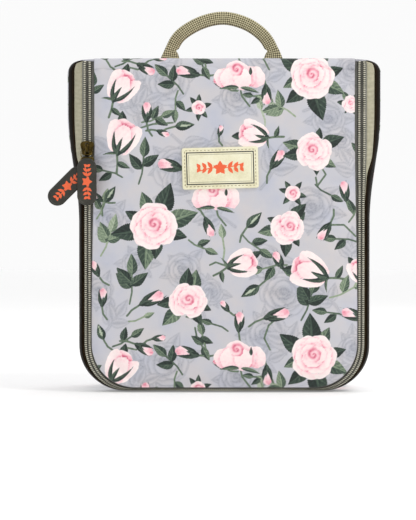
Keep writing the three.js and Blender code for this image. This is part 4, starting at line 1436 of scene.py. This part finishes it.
def motif_values(x, y, size):
    """A plain leafy sprig with a flower, as signed distances."""
    cloth = Print(x, y)
    stem_half = size * 0.95
    line = [
        (-stem_half, -size * 0.12), (-stem_half * 0.4, size * 0.02), (0, 0),
        (stem_half * 0.4, size * 0.02), (stem_half, size * 0.16),
    ]
    cloth.stem(line, size * 0.05)
    for i in range(3):
        for side in (-1, 1):
            out = size * (0.36 + 0.27 * i)
            for hand in (-1, 1):
                way = (0 if hand > 0 else math.pi) + hand * side * 0.85
                length = size * (0.36 - 0.05 * i)
                cloth.leaf(hand * out, 0.02 * size, way, length, size * 0.17, bend=0.08 * side * hand)
    for i in range(5):
        way = math.pi / 2 + i * 2 * math.pi / 5
        cloth.leaf(0, 0, way, size * 0.34, size * 0.25, point=0.6)
    return np.stack([cloth.leaf_edge, cloth.leaf_edge * 0, cloth.leaf_edge * 0], 1)


def label_material():
    n = Nodes("label_leather", 0.5, Coat_Weight=0.1, Coat_Roughness=0.4)
    where = n.attribute("cloth_place")
    motif = n.attribute("motif")
    grain = n.noise(n.object_place(), 900, 5.0)
    tint = n.noise(n.object_place(), 70, 3.0)
    level = n.math("MULTIPLY_ADD", grain, 0.35, n.math("MULTIPLY", tint, 0.65))
    base = n.ramp(level, [(0.3, 214, 207, 170), (0.5, 231, 226, 194), (0.7, 240, 237, 212)])
    from_side = n.math("SUBTRACT", 23.2, n.math("ABSOLUTE", where[0]))
    from_top = n.math("SUBTRACT", 11.0, n.math("ABSOLUTE", where[1]))
    inset = n.math("MINIMUM", from_side, from_top)
    frame_line = n.math("SUBTRACT", 1.0, n.step(n.math("ABSOLUTE", inset), 0.3, 0.5))
    from_inner_line = n.math("ABSOLUTE", n.math("SUBTRACT", inset, 1.4))
    inner_line = n.math("SUBTRACT", 1.0, n.step(from_inner_line, 0.08, 0.24))
    lined = n.mix(n.math("MAXIMUM", frame_line, n.math("MULTIPLY", inner_line, 0.7)), base, rgba(44, 40, 32))
    printed = n.step(n.math("MULTIPLY_ADD", grain, 0.14, motif[0]), 0.02, 0.2)
    n.colour(n.mix(printed, lined, rgba(234, 96, 50)))
    n.bump(grain, 0.00012, 0.4)
    return n.material


def make_label():
    u, w = np.meshgrid(np.linspace(-1, 1, 150), np.linspace(-1, 1, 84))
    local_x = u * LABEL_HALF_WIDTH
    local_z = w * LABEL_HALF_HEIGHT
    corner = 1.6
    over = np.clip(np.abs(local_z) - (LABEL_HALF_HEIGHT - corner), 0, corner)
    half = LABEL_HALF_WIDTH - corner + np.sqrt(np.maximum(corner ** 2 - over ** 2, 0))
    local_x = local_x * half / LABEL_HALF_WIDTH
    c, s = math.cos(LABEL_TILT), math.sin(LABEL_TILT)
    x = LABEL_X + local_x * c - local_z * s
    z = LABEL_Z + local_x * s + local_z * c
    near = np.minimum(half - np.abs(local_x), LABEL_HALF_HEIGHT - np.abs(local_z))
    middle = panel_depth(LABEL_X, LABEL_Z)
    lie = ripple(x, z, 0.4) * 0.15
    thick = 1.15 + 0.35 * (1 - np.exp(-near / 0.9)) - 0.3 * np.exp(-((near - 1.9) / 0.45) ** 2)
    front = np.stack([x, middle - 0.1 - lie - thick, z], 2)
    back = np.stack([x, np.full_like(x, middle + 0.5), z], 2)
    label = new_object("label_leather", *closed_grid(front, back), label_material())
    add_values(label, {
        "cloth_place": np.stack([local_x.ravel(), local_z.ravel(), local_x.ravel() * 0], 1),
        "motif": motif_values(local_x.ravel(), local_z.ravel(), 15.5),
    })
    place(label, "flap", "label_leather", "label_patch")
    a, b = LABEL_HALF_WIDTH - 1.9, LABEL_HALF_HEIGHT - 1.9
    face = middle - 1.35
    corners = [(-a, -b), (a, -b), (a, b), (-a, b), (-a, -b)]
    line = [(LABEL_X + p * c - q * s, face, LABEL_Z + p * s + q * c) for p, q in corners]
    make_stitches("label_stitches", line, 2.5, 1.7, 0.3, (0, -1, 0), THREAD_CREAM, "flap", "label_leather")


TAG_LENGTH = 33
TAG_HALF_WIDTH = 6.7
TAG_HALF_THICK = 1.1
TAG_DROP = 2.6


def tag_material():
    n = Nodes("tag_rubber_printed", 0.5)
    motif = n.attribute("motif")
    grain = n.noise(n.object_place(), 1400, 4.0)
    wear = n.noise(n.object_place(), 160, 3.0)
    level = n.math("MULTIPLY_ADD", grain, 0.4, n.math("MULTIPLY", wear, 0.6))
    base = n.ramp(level, [(0.3, 28, 27, 19), (0.5, 38, 37, 27), (0.72, 58, 56, 44)])
    printed = n.step(n.math("MULTIPLY_ADD", grain, 0.1, motif[0]), 0.0, 0.16)
    n.colour(n.mix(printed, base, rgba(232, 98, 52)))
    n.bump(n.math("MULTIPLY_ADD", printed, 1.2, grain), 0.00012, 0.5)
    return n.material


TAG = tag_material()


def make_tag(name, centre, lean):
    rows, columns = 130, 46
    ends = TAG_HALF_WIDTH
    middle = np.linspace(ends, TAG_LENGTH - ends, rows - 56)
    cap = ends * (1 - np.cos(np.linspace(0, math.pi / 2, 29)))
    down = np.concatenate([cap[:-1], middle, (TAG_LENGTH - cap[:-1])[::-1]])
    over = np.clip(np.maximum(ends - down, down - (TAG_LENGTH - ends)), 0, ends)
    half = np.sqrt(np.maximum(ends ** 2 - over ** 2, 0.02))
    share = np.linspace(-1, 1, columns)
    local_x = half[:, None] * share[None]
    local_w = np.repeat(down[:, None], columns, 1)
    line_w = np.clip(local_w, ends, TAG_LENGTH - ends)
    near = ends - np.hypot(local_x, local_w - line_w)
    rim = 0.42 * smoothstep(near, 0, 0.5) * (1 - smoothstep(near, 1.1, 1.6))
    flat = 0.25 * smoothstep(near, 0, 0.5)
    thick = TAG_HALF_THICK - 0.45 + rim + flat
    c, s = math.cos(lean), math.sin(lean)
    drop = local_w + TAG_DROP
    x = centre[0] + local_x * c - drop * s
    z = centre[2] - local_x * s - drop * c
    front = np.stack([x, centre[1] - thick, z], 2)
    back = np.stack([x, centre[1] + thick, z], 2)
    tag = new_object(f"tag_{name}_rubber", *closed_grid(front, back), TAG)
    along = (local_w - TAG_LENGTH / 2).ravel()
    add_values(tag, {"motif": motif_values(along, local_x.ravel(), 11.5)})
    place(tag, f"tag_{name}", "tag_rubber", f"tag_{name}")


make_label()
make_tag("upper", (-95.5, -46.7, 166), 0.0)
make_tag("lower", (-95.7, -43.6, 157.4), math.radians(45))


# ---------------------------------------------------------------- sliders
SLIDER_X = -95.5
SLIDER_RISE = 10.4


def plate_grid(half_of, low, high, rows, columns, front_of, back_of):
    """A closed puffy plate: half-width, front and back depths come from functions."""
    z = np.linspace(low, high, rows)
    share = np.linspace(-1, 1, columns)
    x = half_of(z)[:, None] * share[None]
    z = np.repeat(z[:, None], columns, 1)
    share = np.repeat(share[None], rows, 0)
    return x, z, front_of(x, z, share), back_of(x, z, share)


def slider_outline(z):
    """Wide at the shoulders, narrowing to the lower end, with round ends."""
    t = np.clip((z + SLIDER_RISE / 2) / SLIDER_RISE, 0, 1)
    ends = np.clip(1 - np.abs(2 * t - 1) ** 6, 0, 1) ** 0.5
    return (3.5 + 1.15 * smoothstep(t, 0.25, 0.75)) * ends + 0.15


def make_slider(name, centre_z, bridge_front):
    def front(x, z, share):
        t = (z + SLIDER_RISE / 2) / SLIDER_RISE
        dome = 0.5 * (1 - share ** 4) * np.clip(1 - np.abs(2 * t - 1) ** 8, 0, 1)
        groove = 0.28 * np.exp(-((np.abs(share) - 0.62) / 0.09) ** 2)
        return -41.8 - dome + groove

    def back(x, z, share):
        return -40.55 + x * 0

    half = SLIDER_RISE / 2
    x, z, y_front, y_back = plate_grid(slider_outline, -half, half, 34, 22, front, back)
    move = np.array([SLIDER_X, 0, centre_z])
    shells = [closed_grid(np.stack([x, y_front, z], 2) + move, np.stack([x, y_back, z], 2) + move)]
    rear_low, rear_high = -36.4, -35.7
    x, z, y_front, y_back = plate_grid(
        lambda v: slider_outline(v) * 0.5, -half + 1, half - 1, 12, 8,
        lambda x, z, share: x * 0 + rear_low, lambda x, z, share: x * 0 + rear_high,
    )
    shift = move + np.array([1.1, 0, 0])
    shells.append(closed_grid(np.stack([x, y_front, z], 2) + shift, np.stack([x, y_back, z], 2) + shift))
    post = np.array([[-0.22, -2.6], [0.22, -2.6], [0.22, 2.6], [-0.22, 2.6]])
    rings = [np.stack([post[:, 0], np.full(4, y), post[:, 1]], 1) + move for y in (-41, -35.8)]
    shells.append((np.concatenate(rings), tube_faces(2, 4)))
    shells.append(bridge_tube(bridge_front, move))
    points, faces = joined(shells)
    # The slider's brass has painted highlights and painted shade in its bright and dark patches.
    slider = new_object(f"slider_{name}_brass", points, faces, BRASS)
    place(slider, "slider_" + name, "antique_brass", f"slider_{name}")


def bridge_tube(front, move):
    """The arched bar over the slider that carries its ring."""
    way = np.linspace(0, math.pi, 26)
    high = -41.9 - front
    arch_z = -3.6 * np.cos(way)
    arch_y = -41.6 - (high - 0.2) * np.sin(way) ** 0.45
    line = np.stack([arch_y, arch_z], 1)
    tangent = unit(np.gradient(line, axis=0))
    turn = np.linspace(0, 2 * math.pi, 12, endpoint=False)
    rings = []
    for spot, ahead in zip(line, tangent):
        out = np.array([-ahead[1], ahead[0]])
        wide = 1.0 + 0.35 * abs(spot[1]) / 3.6
        rings.append(np.stack([
            np.cos(turn) * wide,
            spot[0] + out[0] * np.sin(turn) * 0.45,
            spot[1] + out[1] * np.sin(turn) * 0.45,
        ], 1) + move)
    return np.concatenate(rings), tube_faces(len(rings), len(turn))


make_slider("upper", 170.1, -48.3)
make_slider("lower", 159.4, -45.2)


# ---------------------------------------------------------------- inside the bag
def lining_material():
    n = Nodes("lining_fabric", 0.6, Sheen_Weight=0.2)
    where = n.object_place()
    mottle = n.noise(where, 60, 4.0)
    n.colour(n.ramp(mottle, [(0.3, 176, 178, 182), (0.5, 188, 190, 194), (0.7, 198, 199, 203)]))
    split = n.node("ShaderNodeSeparateXYZ")
    n.link(where, split.inputs[0])
    yarn_a = n.math("SINE", n.math("MULTIPLY", n.math("ADD", split.outputs[0], split.outputs[1]), 7000.0))
    yarn_b = n.math("SINE", n.math("MULTIPLY", split.outputs[2], 7000.0))
    n.bump(n.math("ADD", n.math("MULTIPLY", yarn_a, yarn_b), n.math("MULTIPLY", mottle, 3.0)), 0.0001, 0.5)
    return n.material


def net_material():
    """A dark net with paler six-sided eyes."""
    n = Nodes("mesh_net", 0.75)
    eye = n.node("ShaderNodeTexVoronoi", feature="DISTANCE_TO_EDGE")
    n.link(n.attribute_vector("cloth_place"), eye.inputs["Vector"])
    eye.inputs["Scale"].default_value = 0.5
    eye.inputs["Randomness"].default_value = 0.12
    strand = n.math("SUBTRACT", 1.0, n.step(eye.outputs["Distance"], 0.1, 0.26))
    n.colour(n.mix(strand, rgba(150, 152, 156), rgba(52, 52, 54)))
    n.bump(strand, 0.0003, 0.8)
    return n.material


LINING = lining_material()
NET = net_material()
ELASTIC = ribbed_material("elastic", [(30, 28, 26), (44, 41, 38), (66, 62, 57)], 1.6)
BINDING = ribbed_material("binding", [(34, 30, 25), (50, 44, 36), (72, 64, 52)], 1.1)


def grid_values(a, b):
    return {"cloth_place": np.stack([a.ravel(), b.ravel(), a.ravel() * 0], 1)}


def make_flap_lining():
    x, z = panel_grid(2.0, 2.6)
    near = edge_distance(x, z) - 2.6
    billow = 0.5 * smoothstep(near, 0, 30) * (0.6 + 0.4 * ripple(x, z, 8.0)) - 0.1
    front = np.stack([x, np.full_like(x, -33.45), z], 2)
    back = np.stack([x, -33.0 + billow * 0.3, z], 2)
    lining = new_object("flap_lining_cloth", *closed_grid(front, back), LINING)
    place(lining, "flap", "lining_fabric", "flap_lining")


def make_flap_pad():
    """The foam between the front cover and the lining, with its edge rounded."""
    x, z = panel_grid(2.4, 3.4)
    near = np.clip(edge_distance(x, z) - 3.4, 0, None)
    round_edge = 1.6 * (1 - smoothstep(near, 0, 2.5))
    front = np.stack([x, -37.75 + round_edge, z], 2)
    back = np.stack([x, -33.85 - round_edge, z], 2)
    pad = new_object("flap_pad_foam", *closed_grid(front, back), FOAM)
    place(pad, "flap", "foam", "flap_foam_pad")


def make_flap_pocket():
    columns, rows = 150, 150
    share_x = np.linspace(-1, 1, columns)
    z = np.linspace(24.5, 196, rows)
    corner = 10
    down = np.clip(24 + corner - z, 0, corner)
    up = np.clip(z - (196 - 2), 0, 2)
    half = 80 - corner + np.sqrt(np.maximum(corner ** 2 - down ** 2, 0)) - up * 0.2
    x = half[:, None] * share_x[None]
    gz = np.repeat(z[:, None], columns, 1)
    near = np.minimum((half[:, None] - np.abs(x)), np.minimum(gz - 24, 196 - gz))
    slack = 0.9 * smoothstep(near, 2, 40) + 0.25 * ripple(x * 1.4, gz * 1.2, 9.0) * smoothstep(near, 0, 20)
    slack *= 1 - 0.85 * np.exp(-(((x + 4) / 26) ** 2 + ((gz - 40) / 34) ** 2))
    back = np.stack([x, -31.8 + slack, gz], 2)
    front = back.copy()
    front[..., 1] = -32.35 + slack * 0.6
    pocket = make_shell(
        "flap_pocket_net", front, back, NET, grid_values(x, gz),
        "flap", "mesh", "flap_pocket",
    )


POCKET_TOOTH_PITCH = 1.3
POCKET_TOOTH = (1.05, 0.5, 0.6)


def make_pocket_zip():
    low, high = cad("pocket_zip_tape")
    x, z = np.meshgrid(np.linspace(-80, 80, 170), np.linspace(low[2], high[2], 10))
    across = (z - low[2]) / (high[2] - low[2]) * 2 - 1
    rise = 0.15 * (1 - across ** 4) + 0.06 * ripple(x * 2, z, 1.0)
    front = np.stack([x, np.full_like(x, low[1]), z], 2)
    back = np.stack([x, high[1] - 0.2 + rise, z], 2)
    make_shell(
        "pocket_zip_cloth", front, back, TAPE, grid_values(z, x),
        "flap", "zip_tape", "pocket_zip_tape",
    )
    low, high = cad("pocket_zip_coil")
    middle = (low[2] + high[2]) / 2
    x = np.arange(low[0] + 0.5, high[0], POCKET_TOOTH_PITCH)
    up, right, inward = [np.ones((len(x), 1)) * axis for axis in ([0, 0, 1.0], [1.0, 0, 0], [0, 1.0, 0])]
    shells = []
    for side in (-1, 1):
        places = np.stack([x, x * 0 - 30.95, x * 0 + middle + side * 0.95], 1)
        shells.append(bead_row(places, up, right, inward, POCKET_TOOTH))
    coil = new_object("pocket_zip_teeth", *joined(shells), COIL)
    place(coil, "flap", "zip_coil", "pocket_zip_coil")


def make_side_lining():
    zones = np.linspace(4.1, 7, 10)
    keep = np.nonzero(BORDER.edge[:, 1] <= TOP_CORNER_Z)[0]
    face = BORDER.points(zones, 2.4)[keep]
    inner = BORDER.points(zones, 3.0)[keep]
    edge_out = BORDER.section([7.0], 0.0)[:, 0, 0]
    depths = np.arange(-10, 33, 2.0)
    run = BORDER.run[:, None]
    out = edge_out[:, None] - 2.4 - 0.15 * (1 + ripple(depths[None] * 2, run, 2.5))
    section = np.stack([out, np.repeat(depths[None], len(run), 0)], 2)
    wall = BORDER.to_space(section)[keep]
    section_inner = section.copy()
    section_inner[..., 0] -= 0.6
    wall_inner = BORDER.to_space(section_inner)[keep]
    front = np.concatenate([face, wall], 1)
    back = np.concatenate([inner, wall_inner], 1)
    lining = new_object("side_lining_cloth", *closed_grid(front, back), LINING)
    place(lining, "body", "lining_fabric", "side_lining")


def make_back_lining():
    x, z, share = body_sheet(2.0, 4.0)
    near = np.minimum((1 - share) * 104, np.minimum(z - 2, BODY_HEIGHT - 2 - z))
    slack = (0.3 + 0.3 * ripple(x, z, 7.0)) * smoothstep(near, 0, 20)
    front = np.stack([x, 33.3 - slack * 0.4, z], 2)
    back = np.stack([x, np.full_like(x, 33.9), z], 2)
    lining = new_object("back_lining_cloth", *closed_grid(front, back), LINING)
    place(lining, "body", "lining_fabric", "back_lining")


def make_top_lining():
    low, high = cad("top_lining")
    x, y = np.meshgrid(np.linspace(low[0], high[0], 110), np.linspace(low[1], high[1], 44))
    near = np.minimum(90 - np.abs(x), np.minimum(y - low[1], high[1] - y))
    slack = 0.5 * smoothstep(near, 0, 16) * (0.6 + 0.4 * ripple(x, y * 2, 3.0))
    front = np.stack([x, y, high[2] - 0.05 - slack * 0.3], 2)
    back = np.stack([x, y, low[2] - slack * 0.5], 2)
    lining = new_object("top_lining_cloth", *closed_grid(front, back), LINING)
    place(lining, "body", "lining_fabric", "top_lining")


def wall_strip(plan, inward, low, high, rows, thick, sag=None):
    """A closed upright sheet over a line in plan. Sag moves its points out by height and run."""
    z = np.linspace(low, high, rows)
    run = run_along(plan)
    gx = np.repeat(plan[None, :, 0], rows, 0)
    gy = np.repeat(plan[None, :, 1], rows, 0)
    gz = np.repeat(z[:, None], len(plan), 1)
    out = sag(run[None], gz) if sag else gx * 0
    gx = gx - inward[None, :, 0] * out
    gy = gy - inward[None, :, 1] * out
    front = np.stack([gx, gy, gz], 2)
    back = np.stack([gx + inward[None, :, 0] * thick, gy + inward[None, :, 1] * thick, gz], 2)
    return front, back, np.repeat(run[None], rows, 0), gz


def left_normals(plan):
    """Unit normals on the left of a line in plan."""
    tangent = unit(np.gradient(plan, axis=0))
    return np.stack([-tangent[:, 1], tangent[:, 0]], 1)


def pocket_line(grow):
    """The mesh pocket in plan, from one side of the back round its front to the other."""
    half, front, back, corner = 86 + grow, 22 - grow, 32.6, 8
    turn = np.linspace(0, math.pi / 2, 12)
    left = [(-half, y) for y in np.linspace(back, front + corner, 4)]
    c, s = corner * np.cos(turn), corner * np.sin(turn)
    left_corner = list(zip(corner - half - c, front + corner - s))[1:]
    middle = [(x, front) for x in np.linspace(-half + corner, half - corner, 120)[1:-1]]
    right_corner = list(zip(half - corner + s, front + corner - c))
    right = [(half, y) for y in np.linspace(front + corner, back, 4)[1:]]
    plan = np.array(left + left_corner + middle + right_corner + right)
    return plan, left_normals(plan)


def make_mesh_pocket():
    plan, inward = pocket_line(0)

    def sag(run, z):
        share = np.clip(run / run.max(), 0, 1)
        swell = 1.6 * np.sin(math.pi * share) ** 0.7 * np.sin(math.pi * (z - 12) / 80)
        return swell * (1 + 0.3 * ripple(run, z * 2, 2.0))

    front, back, run, gz = wall_strip(plan, inward, 12, 92.2, 60, 0.8, sag)
    pocket = make_shell(
        "mesh_pocket_net", front, back, NET, grid_values(run, gz),
        "body", "mesh", "mesh_pocket",
    )
    plan, inward = pocket_line(0.5)
    front, back, run, gz = wall_strip(plan, inward, 92.3, 101, 14, 1.6)
    across = (gz - 96.65) / 4.35
    front[..., 1] -= 0.35 * (1 - across ** 2)
    make_shell(
        "mesh_pocket_edge", front, back, BINDING, grid_values(gz, run),
        "body", "leatherette", "mesh_pocket_binding",
    )


def make_elastic_strap():
    pitch, width, depth, back = 56, 48, 15, 32.8
    points = [(-84, back - 0.6)]
    for i in range(3):
        centre = -84 + pitch * (i + 0.5)
        for way in np.linspace(math.pi, 0, 40):
            x = centre + (width / 2 - 0.6) * math.cos(way)
            points.append((x, back - 0.6 - (depth - 0.3) * math.sin(way)))
    points.append((84, back - 0.6))
    plan = np.array(points)
    inward = left_normals(plan)
    front, back_face, run, gz = wall_strip(plan - inward * 0.5, inward, 128, 150, 24, 1.1)
    make_shell(
        "elastic_loops", front, back_face, ELASTIC, grid_values(run, gz),
        "body", "elastic", "elastic_strap",
    )


def dress_cad_nodes():
    """Materials for the CAD nodes that stay in view."""
    # The brass here also carries painted highlights and painted shade in its mottle.
    looks = {
        "back_foam_pad": FOAM, "base_board": BOARD, "hook": PLASTIC, "hook_bracket": PLASTIC,
        "pocket_slider": BRASS, "ring_upper": BRASS, "ring_lower": BRASS,
    }
    for name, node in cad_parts.items():
        node.data.materials.clear()
        node.data.materials.append(looks.get(name, LINING))
        if name in ("hook", "hook_bracket", "pocket_slider"):
            bevel = node.modifiers.new("bevel", "BEVEL")
            bevel.width = 0.0003
            bevel.segments = 2
            bevel.limit_method = "ANGLE"
        if name in ("ring_upper", "ring_lower"):
            node.modifiers.new("round", "SUBSURF").render_levels = 1


make_flap_lining()
make_flap_pad()
make_flap_pocket()
make_pocket_zip()
make_side_lining()
make_back_lining()
make_top_lining()
make_mesh_pocket()
make_elastic_strap()
dress_cad_nodes()
